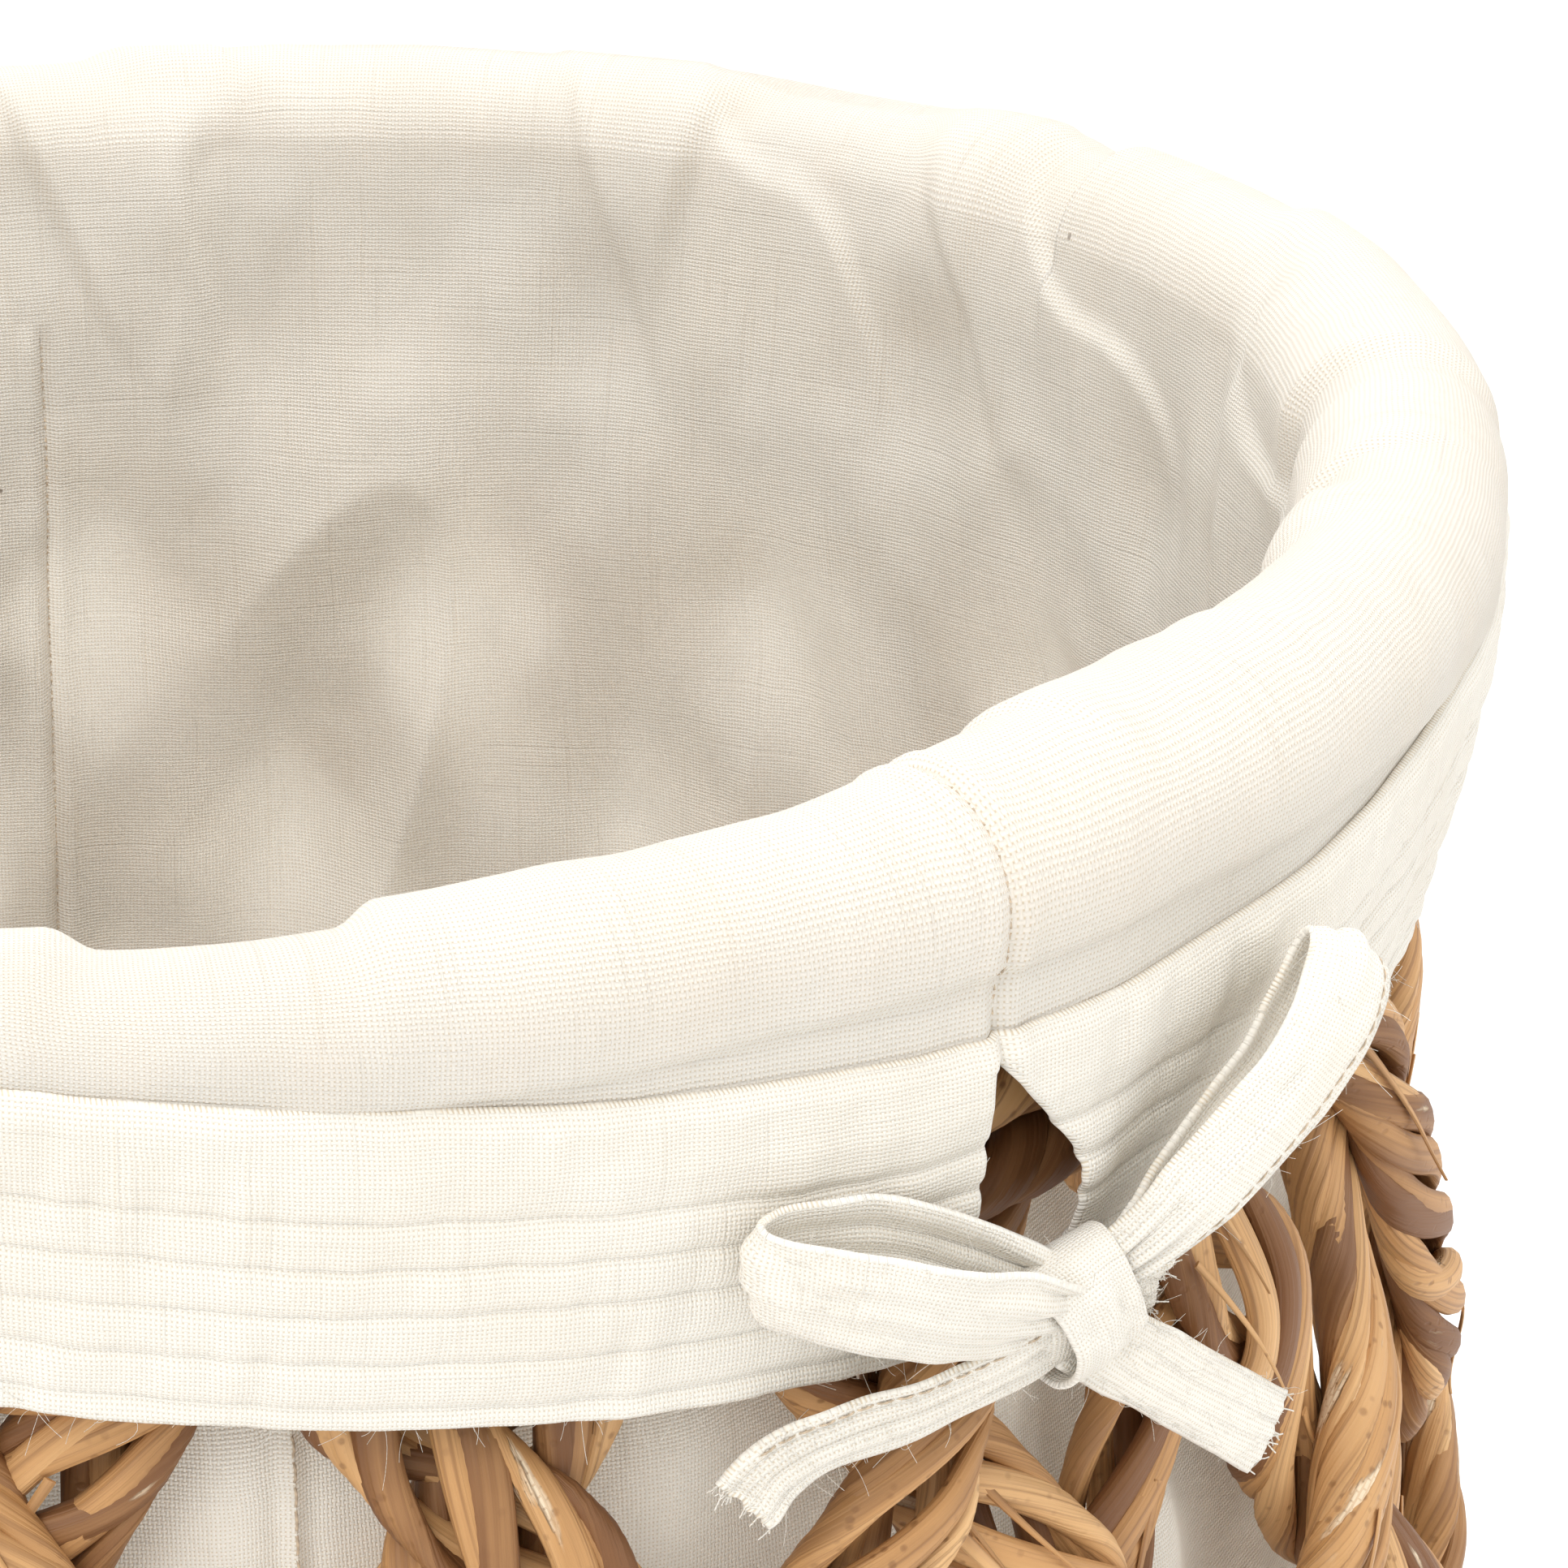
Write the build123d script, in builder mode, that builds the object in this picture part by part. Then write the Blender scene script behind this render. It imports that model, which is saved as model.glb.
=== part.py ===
from build123d import *
from math import atan2, cos, degrees, radians, sin
import os

# An oval woven laundry basket with a cloth liner that lifts out.  Millimetres, +Z up,
# origin at the centre of the underside.  X is the oval's long axis, and one bow of the
# liner is at the middle of the front, at -Y.  The other is at the back, half a turn away.

HEIGHT = 520.0

# The rim's centre line is an oval of four arcs.  Every ring is an offset of it.
RIM_HALF_LENGTH = 190.0
RIM_HALF_WIDTH = 172.0
END_ARC_RADIUS = 155.0

# Rim: a steel hoop inside a round wrapped roll, over three twined rows.
ROLL_RADIUS = 10.6
HOOP_RADIUS = 2.5
HOOP_CLEARANCE = 0.3
BORDER_ROW_DEPTH = 16.0
BORDER_ROW_HEIGHT = 13.0
BORDER_ROW_OFFSETS = (-7.6, -6.5, -5.0)

# Lattice: bundles of flat stems that lean both ways on a wall with a gentle belly.
BUNDLES_EACH_WAY = 18
BUNDLE_WIDTH = 22.0
BUNDLE_THICKNESS = 7.0
LAYER_GAP = 3.6
CROSSING_ROW_PITCH = 47.5
TOP_CROSSING_HEIGHT = 433.0
LATTICE_BOTTOM = 24.0
LATTICE_TOP = 456.0
BELLY_HEIGHT = 245.0
BELLY_OFFSET = 9.0
NECK_OFFSET = -8.6

# Base: two twined rows, with a hoop inside the lower one, round a woven mat.
BASE_ROW_HEIGHT = 12.0
BASE_ROW_DEPTH = 14.4
BASE_ROW_OFFSET = -10.0
MAT_EDGE_OFFSET = -17.5
MAT_THICKNESS = 9.0

# Liner: a cloth bag, a band over the roll and a cuff that hangs outside.
CLOTH_THICKNESS = 1.6
BAG_OFFSET = -21.0
BAG_BOTTOM = 9.4
BAG_TOP = 482.0
ROLL_TO_CLOTH = 0.8
CREASE_BELOW_ROLL_CENTRE = 7.0
CUFF_HEIGHT = 45.0
WALL_SEAM_X = 45.0
SLIT_APEX_BELOW_CREASE = 3.0
SLIT_LEFT = -2.0
SLIT_RIGHT = 16.0
SLIT_SLANT_HEIGHT = 20.0

# Bow: two tapes knotted beside the slit, each with a loop and a tail.
TAPE_WIDTH = 14.0
TAPE_THICKNESS = 3.0
KNOT_X = 13.0
KNOT_HEIGHT_ABOVE_HEM = 11.0
KNOT_WIDTH = 12.0
KNOT_LENGTH = 22.0
KNOT_THICKNESS = 8.0
BOW_CLEARANCE = 0.8
LEFT_LOOP = (62.0, 162.0)
LEFT_TAIL = (59.0, 190.0)
RIGHT_LOOP = (54.0, 36.0)
RIGHT_TAIL = (42.0, -42.0)

# Worked out from the sizes above.
SIDE_ARC_RADIUS = ((RIM_HALF_LENGTH - END_ARC_RADIUS) ** 2 + RIM_HALF_WIDTH**2 - END_ARC_RADIUS**2) / (
    2 * (RIM_HALF_WIDTH - END_ARC_RADIUS)
)
END_CENTRE_X = RIM_HALF_LENGTH - END_ARC_RADIUS
SIDE_CENTRE_Y = SIDE_ARC_RADIUS - RIM_HALF_WIDTH
JOIN_ANGLE = degrees(atan2(SIDE_CENTRE_Y, END_CENTRE_X))
BELLY_CURVE = (BELLY_OFFSET - NECK_OFFSET) / (LATTICE_TOP - BELLY_HEIGHT) ** 2
CLOTH_INSIDE = ROLL_RADIUS + ROLL_TO_CLOTH
CLOTH_OUTSIDE = CLOTH_INSIDE + CLOTH_THICKNESS
ROLL_HEIGHT = HEIGHT - CLOTH_OUTSIDE
CREASE_HEIGHT = ROLL_HEIGHT - CREASE_BELOW_ROLL_CENTRE
HEM_HEIGHT = CREASE_HEIGHT - CUFF_HEIGHT
CUFF_FACE = RIM_HALF_WIDTH + CLOTH_OUTSIDE

# The four arcs of the oval, anticlockwise from the front: centre, radius, first angle, turn.
SIDE_TURN = 180 - 2 * JOIN_ANGLE
END_TURN = 2 * JOIN_ANGLE
ARCS = (
    ((0, SIDE_CENTRE_Y), SIDE_ARC_RADIUS, 180 + JOIN_ANGLE, SIDE_TURN),
    ((END_CENTRE_X, 0), END_ARC_RADIUS, -JOIN_ANGLE, END_TURN),
    ((0, -SIDE_CENTRE_Y), SIDE_ARC_RADIUS, JOIN_ANGLE, SIDE_TURN),
    ((-END_CENTRE_X, 0), END_ARC_RADIUS, 180 - JOIN_ANGLE, END_TURN),
)
PERIMETER = sum(radius * radians(turn) for centre, radius, first, turn in ARCS)


def on_oval(distance, offset, height):
    """The point that far round the oval from the middle of the front, and its outward direction."""
    along = (distance + ARCS[0][1] * radians(ARCS[0][3]) / 2) % PERIMETER
    for (centre_x, centre_y), radius, first, turn in ARCS:
        length = radius * radians(turn)
        if along <= length:
            break
        along -= length
    angle = radians(first) + along / radius
    outward = Vector(cos(angle), sin(angle), 0)
    return Vector(centre_x, centre_y, height) + outward * (radius + offset), outward


def ring(profile):
    """A closed ring: the profile, a sketch in (offset, height), turned round each arc of the oval."""
    with BuildPart() as whole_ring:
        for (centre_x, centre_y), radius, first, turn in ARCS:
            across = Vector(cos(radians(first)), sin(radians(first)), 0)
            start = Vector(centre_x, centre_y, 0) + across * radius
            with BuildSketch(Plane(origin=start, x_dir=across, z_dir=across.cross(Vector(0, 0, 1)))):
                add(profile)
            revolve(axis=Axis((centre_x, centre_y, 0), (0, 0, 1)), revolution_arc=turn)
    return whole_ring.part


def oval_plate(offset, bottom, thickness):
    """A flat oval plate, with its edge at an offset from the rim's centre line."""
    with BuildPart() as plate:
        with BuildSketch(Plane.XY.offset(bottom)):
            with BuildLine():
                for centre, radius, first, turn in ARCS:
                    CenterArc(centre, radius + offset, first, turn)
            make_face()
        extrude(amount=thickness)
    return plate.part


def save(part, label):
    part.label = label
    export_step(part, f"parts/{label}.step")


os.makedirs("parts", exist_ok=True)


# --- Rim -----------------------------------------------------------------------------


def roll_profile():
    with BuildSketch() as profile:
        with Locations((0, ROLL_HEIGHT)):
            Circle(ROLL_RADIUS)
            Circle(HOOP_RADIUS + HOOP_CLEARANCE, mode=Mode.SUBTRACT)
    return profile.sketch


def hoop_profile(offset, height):
    with BuildSketch() as profile:
        with Locations((offset, height)):
            Circle(HOOP_RADIUS)
    return profile.sketch


def row_profile(offset, bottom, depth, height, holds_hoop=False):
    """A twined row: flat where it meets the rows above and below, rounded at the sides."""
    with BuildSketch() as profile:
        with Locations((offset, bottom + height / 2)):
            Rectangle(depth, height)
            fillet(profile.vertices(), height / 4)
            if holds_hoop:
                Circle(HOOP_RADIUS + HOOP_CLEARANCE, mode=Mode.SUBTRACT)
    return profile.sketch


save(ring(roll_profile()), "rim_wrap")
save(ring(hoop_profile(0, ROLL_HEIGHT)), "rim_hoop")

for number, offset in enumerate(BORDER_ROW_OFFSETS):
    bottom = LATTICE_TOP + number * BORDER_ROW_HEIGHT
    border_row = ring(row_profile(offset, bottom, BORDER_ROW_DEPTH, BORDER_ROW_HEIGHT))
    save(border_row, f"rim_border_row_{number + 1}")


# --- Base ----------------------------------------------------------------------------


lower_base_row = row_profile(BASE_ROW_OFFSET, 0, BASE_ROW_DEPTH, BASE_ROW_HEIGHT, holds_hoop=True)
upper_base_row = row_profile(BASE_ROW_OFFSET, BASE_ROW_HEIGHT, BASE_ROW_DEPTH, BASE_ROW_HEIGHT)
save(ring(lower_base_row), "base_row_lower")
save(ring(upper_base_row), "base_row_upper")
save(ring(hoop_profile(BASE_ROW_OFFSET, BASE_ROW_HEIGHT / 2)), "base_hoop")
save(oval_plate(MAT_EDGE_OFFSET, 0, MAT_THICKNESS), "base_mat")


# --- Lattice -------------------------------------------------------------------------


def wall_offset(height):
    """How far the middle of the lattice stands outside the rim's centre line."""
    return BELLY_OFFSET - BELLY_CURVE * (height - BELLY_HEIGHT) ** 2


def bundle(number, lean):
    """One bundle, straight between crossings.  lean is +1 for the outer layer, -1 for the inner."""
    pitch = PERIMETER / BUNDLES_EACH_WAY
    layer = lean * (BUNDLE_THICKNESS + LAYER_GAP) / 2
    heights = [TOP_CROSSING_HEIGHT + CROSSING_ROW_PITCH]
    while heights[-1] > LATTICE_BOTTOM:
        heights.append(heights[-1] - CROSSING_ROW_PITCH)
    places = []
    for height in heights:
        rows_down = (TOP_CROSSING_HEIGHT - height) / CROSSING_ROW_PITCH
        distance = number * pitch - lean * rows_down * pitch / 2
        places.append(on_oval(distance, wall_offset(height) + layer, height))
    with BuildPart() as strip:
        for (upper, upper_out), (lower, lower_out) in zip(places, places[1:]):
            along = lower - upper
            overrun = along.normalized() * (BUNDLE_THICKNESS / 8)
            sideways = along.cross(upper_out + lower_out)
            with BuildSketch(Plane(origin=upper - overrun, x_dir=sideways, z_dir=along)):
                Rectangle(BUNDLE_WIDTH, BUNDLE_THICKNESS)
            extrude(amount=along.length + 2 * overrun.length)
        split(bisect_by=Plane.XY.offset(LATTICE_TOP), keep=Keep.BOTTOM)
        split(bisect_by=Plane.XY.offset(LATTICE_BOTTOM), keep=Keep.TOP)
    return strip.part


for number in range(BUNDLES_EACH_WAY):
    save(bundle(number, 1), f"outer_bundle_{number + 1:02d}")
    save(bundle(number, -1), f"inner_bundle_{number + 1:02d}")


# --- Liner ---------------------------------------------------------------------------


def upright_cloth_profile(inner_face, bottom, top):
    with BuildSketch() as profile:
        with Locations((inner_face, bottom)):
            Rectangle(CLOTH_THICKNESS, top - bottom, align=(Align.MIN, Align.MIN))
    return profile.sketch


def band_profile():
    """The cloth from the top of the bag, up and over the roll, to the crease outside."""
    roll_centre = (0, ROLL_HEIGHT)
    with BuildSketch() as profile:
        with BuildLine():
            inner_arc = CenterArc(roll_centre, CLOTH_INSIDE, 0, 180)
            outer_arc = CenterArc(roll_centre, CLOTH_OUTSIDE, 0, 180)
            Polyline(
                inner_arc @ 0,
                (CLOTH_INSIDE, CREASE_HEIGHT),
                (CLOTH_OUTSIDE, CREASE_HEIGHT),
                outer_arc @ 0,
            )
            Polyline(
                outer_arc @ 1,
                (BAG_OFFSET - CLOTH_THICKNESS, BAG_TOP),
                (BAG_OFFSET, BAG_TOP),
                inner_arc @ 1,
            )
        make_face()
    return profile.sketch


def front_and_back():
    """The upright planes that touch the cuff at the front and the back, each seen from outside."""
    return {
        "front": Plane(origin=(0, -CUFF_FACE, 0), x_dir=(1, 0, 0), z_dir=(0, -1, 0)),
        "back": Plane(origin=(0, CUFF_FACE, 0), x_dir=(-1, 0, 0), z_dir=(0, 1, 0)),
    }


def halves(whole, seam_angle):
    """The two sides of a ring, parted by the upright plane at that angle from the X axis."""
    direction = Vector(cos(radians(seam_angle)), sin(radians(seam_angle)), 0)
    seam_plane = Plane(origin=(0, 0, 0), z_dir=direction.cross(Vector(0, 0, 1)))
    sides = []
    for keep in (Keep.TOP, Keep.BOTTOM):
        with BuildPart() as half:
            add(whole)
            split(bisect_by=seam_plane, keep=keep)
        sides.append(half.part)
    return sides


wall_seam_y = (RIM_HALF_WIDTH + BAG_OFFSET) * (1 - (WALL_SEAM_X / (RIM_HALF_LENGTH + BAG_OFFSET)) ** 2) ** 0.5
bag_wall = ring(upright_cloth_profile(BAG_OFFSET - CLOTH_THICKNESS, BAG_BOTTOM + CLOTH_THICKNESS, BAG_TOP))
wall_right, wall_left = halves(bag_wall, degrees(atan2(wall_seam_y, WALL_SEAM_X)))
save(wall_right, "liner_wall_right")
save(wall_left, "liner_wall_left")

save(oval_plate(BAG_OFFSET, BAG_BOTTOM, CLOTH_THICKNESS), "liner_base")

band_right, band_left = halves(ring(band_profile()), 90)
save(band_right, "liner_rim_band_right")
save(band_left, "liner_rim_band_left")

with BuildPart() as cuff_with_slits:
    add(ring(upright_cloth_profile(CLOTH_INSIDE, HEM_HEIGHT, CREASE_HEIGHT)))
    for plane in front_and_back().values():
        with BuildSketch(plane.offset(BOW_CLEARANCE)):
            with BuildLine():
                slit_top = CREASE_HEIGHT - SLIT_APEX_BELOW_CREASE
                Polyline(
                    (0, slit_top),
                    (SLIT_RIGHT, slit_top - SLIT_SLANT_HEIGHT),
                    (SLIT_RIGHT, HEM_HEIGHT - CLOTH_THICKNESS),
                    (SLIT_LEFT, HEM_HEIGHT - CLOTH_THICKNESS),
                    close=True,
                )
            make_face()
        extrude(amount=-3 * CLOTH_OUTSIDE, mode=Mode.SUBTRACT)
cuff_right, cuff_left = halves(cuff_with_slits.part, 90)
save(cuff_right, "liner_cuff_right")
save(cuff_left, "liner_cuff_left")


# --- Bows ----------------------------------------------------------------------------

KNOT_Z = HEM_HEIGHT + KNOT_HEIGHT_ABOVE_HEM


def tape(plane, strips):
    """One tape as flat strips, each a length and a direction in degrees, that leave the knot."""
    with BuildPart() as flat_tape:
        with BuildSketch(plane.offset(BOW_CLEARANCE)):
            for length, direction in strips:
                middle_x = KNOT_X + cos(radians(direction)) * length / 2
                middle_z = KNOT_Z + sin(radians(direction)) * length / 2
                with Locations((middle_x, middle_z)):
                    Rectangle(length, TAPE_WIDTH, rotation=direction)
            with Locations((KNOT_X, KNOT_Z)):
                Rectangle(KNOT_WIDTH, KNOT_LENGTH, mode=Mode.SUBTRACT)
        extrude(amount=TAPE_THICKNESS)
    return flat_tape.part


def knot(plane):
    with BuildPart() as tied_knot:
        with BuildSketch(plane.offset(BOW_CLEARANCE)):
            with Locations((KNOT_X, KNOT_Z)):
                Rectangle(KNOT_WIDTH, KNOT_LENGTH)
        extrude(amount=KNOT_THICKNESS)
        front_edges = tied_knot.faces().sort_by(Axis(plane.origin, plane.z_dir))[-1].edges()
        fillet(front_edges, KNOT_THICKNESS / 4)
    return tied_knot.part


for side, plane in front_and_back().items():
    save(knot(plane), f"{side}_bow_knot")
    save(tape(plane, (LEFT_LOOP, LEFT_TAIL)), f"{side}_bow_left_tape")
    save(tape(plane, (RIGHT_LOOP, RIGHT_TAIL)), f"{side}_bow_right_tape")
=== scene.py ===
from math import atan2, cos, pi, radians, sin

import bpy
import numpy as np
from bpy.props import FloatProperty, FloatVectorProperty, IntProperty, PointerProperty
from mathutils import Matrix, Vector


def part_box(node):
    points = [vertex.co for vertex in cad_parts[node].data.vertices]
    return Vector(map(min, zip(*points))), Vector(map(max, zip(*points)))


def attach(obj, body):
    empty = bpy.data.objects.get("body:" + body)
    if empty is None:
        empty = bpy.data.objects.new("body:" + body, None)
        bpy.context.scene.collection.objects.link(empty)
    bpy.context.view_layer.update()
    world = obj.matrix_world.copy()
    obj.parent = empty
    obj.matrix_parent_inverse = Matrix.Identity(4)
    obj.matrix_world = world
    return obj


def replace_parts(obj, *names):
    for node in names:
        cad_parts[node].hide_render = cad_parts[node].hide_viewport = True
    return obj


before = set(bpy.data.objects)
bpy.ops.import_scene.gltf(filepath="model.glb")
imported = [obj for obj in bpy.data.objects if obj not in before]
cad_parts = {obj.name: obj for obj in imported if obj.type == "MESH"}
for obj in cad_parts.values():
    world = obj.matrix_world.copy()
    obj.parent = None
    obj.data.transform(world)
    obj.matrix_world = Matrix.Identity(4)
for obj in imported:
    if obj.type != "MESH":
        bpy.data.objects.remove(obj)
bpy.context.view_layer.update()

bl_info = {
    "name": "Woven laundry basket",
    "version": (1, 0, 0),
    "blender": (4, 5, 0),
    "location": "View3D > Sidebar > Basket",
    "description": "Dresses the framed laundry basket in woven stems, calico and bows",
    "category": "Object",
}

RIM_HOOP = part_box("rim_hoop")
BUNDLE_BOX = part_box("outer_bundle_01")
CUFF_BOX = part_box("liner_cuff_right")
KNOT_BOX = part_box("front_bow_knot")
BUNDLES = sum(name.startswith("outer_bundle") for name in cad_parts)
BOTH_WAYS = {"outer": 1, "inner": -1}  # the two layers of bundles and the way each one leans
UP = np.array([0, 0, 1.0])
SEAM_DEPTH = 0.014  # how far inside the rim's centre line the bag's seams stand near the top
MAT_EDGE = 0.0298  # how far inside that line the cloth on the mat ends
BAND_BEGINS = 0.482  # height inside the basket where the rim band takes over from the wall
HANGS_AT = (0.032, 0.10, 0.17, 0.245, 0.32, 0.39, 0.435)  # heights that shape the hanging wall
TAPE_THICKNESS = 0.0011
KNOT_THICKNESS = 0.0010
CUFF_LEAN = (  # distance from the slit, rise of the crease there
    (-0.250, 0.009), (-0.190, 0.0135), (-0.146, 0.0125), (-0.115, 0.006), (-0.082, 0.0), (-0.050, -0.0045),
    (-0.012, -0.0085), (0.020, -0.0095), (0.060, -0.0070), (0.110, -0.0010), (0.180, 0.002), (0.250, 0.005),
)
# How far the cuff stands out at each distance below the crease.
CUFF_HANG = ((0, -0.0003), (0.0022, 0.0006), (0.009, 0.0010), (0.025, -0.0018), (0.046, -0.0066))
# Rows of stitching on the cuff, the hem's last: depth below the crease, and how far the row wanders.
ROW_DROPS = ((0.0140, 0.0022), (0.0212, 0.0026), (0.0280, 0.0012), (0.0352, 0.0007), (0.0418, 0.0004))
# How far the cuff's face stands out at each distance below the crease, where the bows lie on it.
BOW_RESTS_ON = ((-0.02, 0.0150), (-0.004, 0.0165), (0.01, 0.0160), (0.025, 0.0125), (0.046, 0.0085))
KNOT_LEFT = 0.0015  # how far left of its framed place the drawn-down knot sits
KNOT_DROP = 0.0052  # and how far below it, besides the cuff's own lean
SOFTBOXES = {  # place, width and power
    "key": ((-1.5, -1.0, 1.75), 1.1, 23.0),
    "fill": ((1.5, -1.3, 1.2), 1.4, 13.0),
    "back": ((0.9, 1.9, 1.3), 1.2, 17.0),
    "side": ((-1.9, 1.0, 0.9), 1.0, 9.0),
    "top": ((0.2, 0.1, 2.3), 1.2, 20.0),
}
LAMPS_AIM_AT = Vector((0, 0, 0.35))
SURROUND_STRENGTH = 0.84
FLOOR_REACH = 9.0
FLOOR_POINTS = 13  # points along one side of the floor
SENSOR_WIDTH = 36  # millimetres


# --- Settings ------------------------------------------------------------------------


def size(name, description, default):
    return FloatProperty(name=name, description=description, default=default, unit="LENGTH", precision=4)


def colour(name, description, default):
    return FloatVectorProperty(
        name=name, description=description, default=default, size=3, subtype="COLOR", min=0, max=1
    )


def angle(name, description, degrees):
    return FloatProperty(name=name, description=description, default=radians(degrees), subtype="ANGLE")


class BasketForm(bpy.types.PropertyGroup):
    end_radius: size("End radius", "Radius of the two end arcs of the oval", 0.155)
    belly_height: size("Belly height", "Height where the wall stands out most", 0.245)
    belly_offset: size("Belly offset", "How far the belly stands outside the rim's centre line", 0.009)
    neck_offset: size("Neck offset", "The wall's offset where it meets the border", -0.0086)
    row_pitch: size("Row pitch", "Height from one row of crossings to the next", 0.0475)
    top_row: size("Top row", "Height of the highest row of crossings", 0.433)
    roll_radius: size("Roll radius", "Radius of the wrapped roll under the cloth", 0.0106)
    border_offset: size("Border offset", "Where the border's rows lie, from the rim's centre line", -0.0065)
    base_offset: size("Base offset", "Where the base's rows lie, from the rim's centre line", -0.010)
    mat_pitch: size("Mat pitch", "Distance from strip to strip in the base mat", 0.011)


class StemSettings(bpy.types.PropertyGroup):
    per_bundle: IntProperty(name="Stems", description="Stems twisted together in a bundle", default=8, min=2)
    width: size("Width", "Width of one flat stem", 0.0058)
    thickness: size("Thickness", "Thickness of one flat stem", 0.0042)
    spread: size("Spread", "Half the width of the path that a stem winds round its bundle", 0.0086)
    depth: size("Depth", "Half the depth of that path", 0.0034)
    turn: size("Turn", "Length of bundle in which a stem winds once round", 0.088)
    weave: size("Weave", "How far a bundle moves out or in where it crosses another", 0.0048)


class LinerSettings(bpy.types.PropertyGroup):
    thread: size("Thread pitch", "Distance from thread to thread in the calico", 0.0006)
    gap: size("Gap", "Distance from the middle of the lattice to the hanging cloth", 0.0112)
    over_roll: size("Over the roll", "Radius of the cloth's path over the rim roll", 0.0122)
    thickness: size("Cuff thickness", "Thickness of the doubled cloth of the cuff", 0.0013)
    seam_x: size("Wall seam", "X of the wall's seam at the back", 0.078)
    stitch: size("Stitch", "Length of one stitch of the hems", 0.0034)
    long_stitch: size("Long stitch", "Length of one stitch of the cuff's rows", 0.0073)
    tape_width: size("Tape width", "Width of the bow's tape", 0.014)


class Colours(bpy.types.PropertyGroup):
    calico: colour("Calico", "Unbleached cotton", (0.955, 0.92, 0.845))
    # this colour tints darker threads, slubs and patches, and is also the painted shade in the weave's
    # hollows
    calico_tone_and_shade: colour("Calico shade", "Darker threads in the cotton", (0.77, 0.66, 0.50))
    fleck: colour("Fleck", "Seed flecks in the cotton", (0.16, 0.09, 0.05))
    thread: colour("Thread", "Sewing thread", (0.66, 0.52, 0.37))
    stem_light: colour("Light stem", "Palest dry stem", (0.78, 0.49, 0.235))
    stem_mid: colour("Stem", "Usual dry stem", (0.55, 0.295, 0.115))
    stem_dark: colour("Dark stem", "Darkest dry stem", (0.20, 0.085, 0.030))
    pith: colour("Pith", "Pale torn skin", (0.90, 0.76, 0.56))
    steel: colour("Steel", "Wire of the hoops", (0.45, 0.44, 0.42))
    floor: colour("Floor", "Floor and surroundings", (0.93, 0.93, 0.925))


class StageSettings(bpy.types.PropertyGroup):
    azimuth: angle("Azimuth", "View direction about Z", -40)
    elevation: angle("Elevation", "View height", 23.1)
    away: size("Away", "From the camera to the rim's middle, along the view", 0.9951)
    aim_right: size("Aim right", "How far right of the rim's middle the camera aims", 0.0917)
    aim_down: size("Aim down", "How far below the rim's middle the camera aims", 0.0374)
    lens: FloatProperty(name="Lens", description="Focal length in millimetres", default=161.3)


def settings(group):
    """One of the groups of settings, from the scene."""
    return getattr(bpy.context.scene, group)


# --- The oval and what lies on it ----------------------------------------------------


class Oval:
    """The rim's centre line as four arcs.  Distance runs anticlockwise from the middle of the front."""

    def __init__(self):
        low, high = RIM_HOOP
        wire = (high.z - low.z) / 2
        self.height = (high.z + low.z) / 2
        half_length = high.x - wire
        half_width = high.y - wire
        end_radius = settings("basket_form").end_radius
        end_x = half_length - end_radius
        side_radius = (end_x**2 + half_width**2 - end_radius**2) / (2 * (half_width - end_radius))
        side_y = side_radius - half_width
        join = atan2(side_y, end_x)
        arcs = (
            (0, side_y, side_radius, pi + join, pi - 2 * join),
            (end_x, 0, end_radius, -join, 2 * join),
            (0, -side_y, side_radius, join, pi - 2 * join),
            (-end_x, 0, end_radius, pi - join, 2 * join),
        )
        self.x, self.y, self.radius, self.first, turns = (np.array(column) for column in zip(*arcs))
        lengths = self.radius * turns
        self.starts = np.concatenate([[0], np.cumsum(lengths)[:-1]])
        self.perimeter = float(lengths.sum())
        self.half_front = lengths[0] / 2

    def at(self, distance, offset, height):
        """Points at these distances round the oval, and their outward directions."""
        distance, offset, height = np.broadcast_arrays(distance, offset, height)
        along = (distance + self.half_front) % self.perimeter
        arc = np.searchsorted(self.starts, along, side="right") - 1
        turned = self.first[arc] + (along - self.starts[arc]) / self.radius[arc]
        outward = np.stack([np.cos(turned), np.sin(turned), np.zeros_like(turned)], -1)
        centre = np.stack([self.x[arc], self.y[arc], height], -1)
        return centre + outward * (self.radius[arc] + offset)[..., None], outward


def wall_offset(height):
    """How far the middle of the lattice stands outside the rim's centre line."""
    form = settings("basket_form")
    curve = (form.belly_offset - form.neck_offset) / (BUNDLE_BOX[1].z - form.belly_height) ** 2
    return form.belly_offset - curve * (height - form.belly_height) ** 2


def ease(x):
    """From 0 to 1 with level ends."""
    x = np.clip(x, 0, 1)
    return x * x * (3 - 2 * x)


def bump(x, middle, width):
    """1 at the middle, falling to nothing about two widths away."""
    return np.exp(-(((x - middle) / width) ** 2))


def noise(x, y, seed, period=64):
    """Smooth noise from -1 to 1, which repeats every period steps of x."""
    table = np.random.default_rng(seed).uniform(-1, 1, (period, 64))
    x, y = np.broadcast_arrays(x, y)
    left, below = np.floor(x).astype(int), np.floor(y).astype(int)
    across, up = ease(x - left), ease(y - below)
    near, far = left % period, (left + 1) % period
    low, high = below % 64, (below + 1) % 64
    bottom = table[near, low] * (1 - across) + table[far, low] * across
    top = table[near, high] * (1 - across) + table[far, high] * across
    return bottom * (1 - up) + top * up


def held_above(value, lowest, softness):
    """The value, kept above the lowest with a rounded knee."""
    return lowest + softness * np.logaddexp(0, (value - lowest) / softness)


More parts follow.
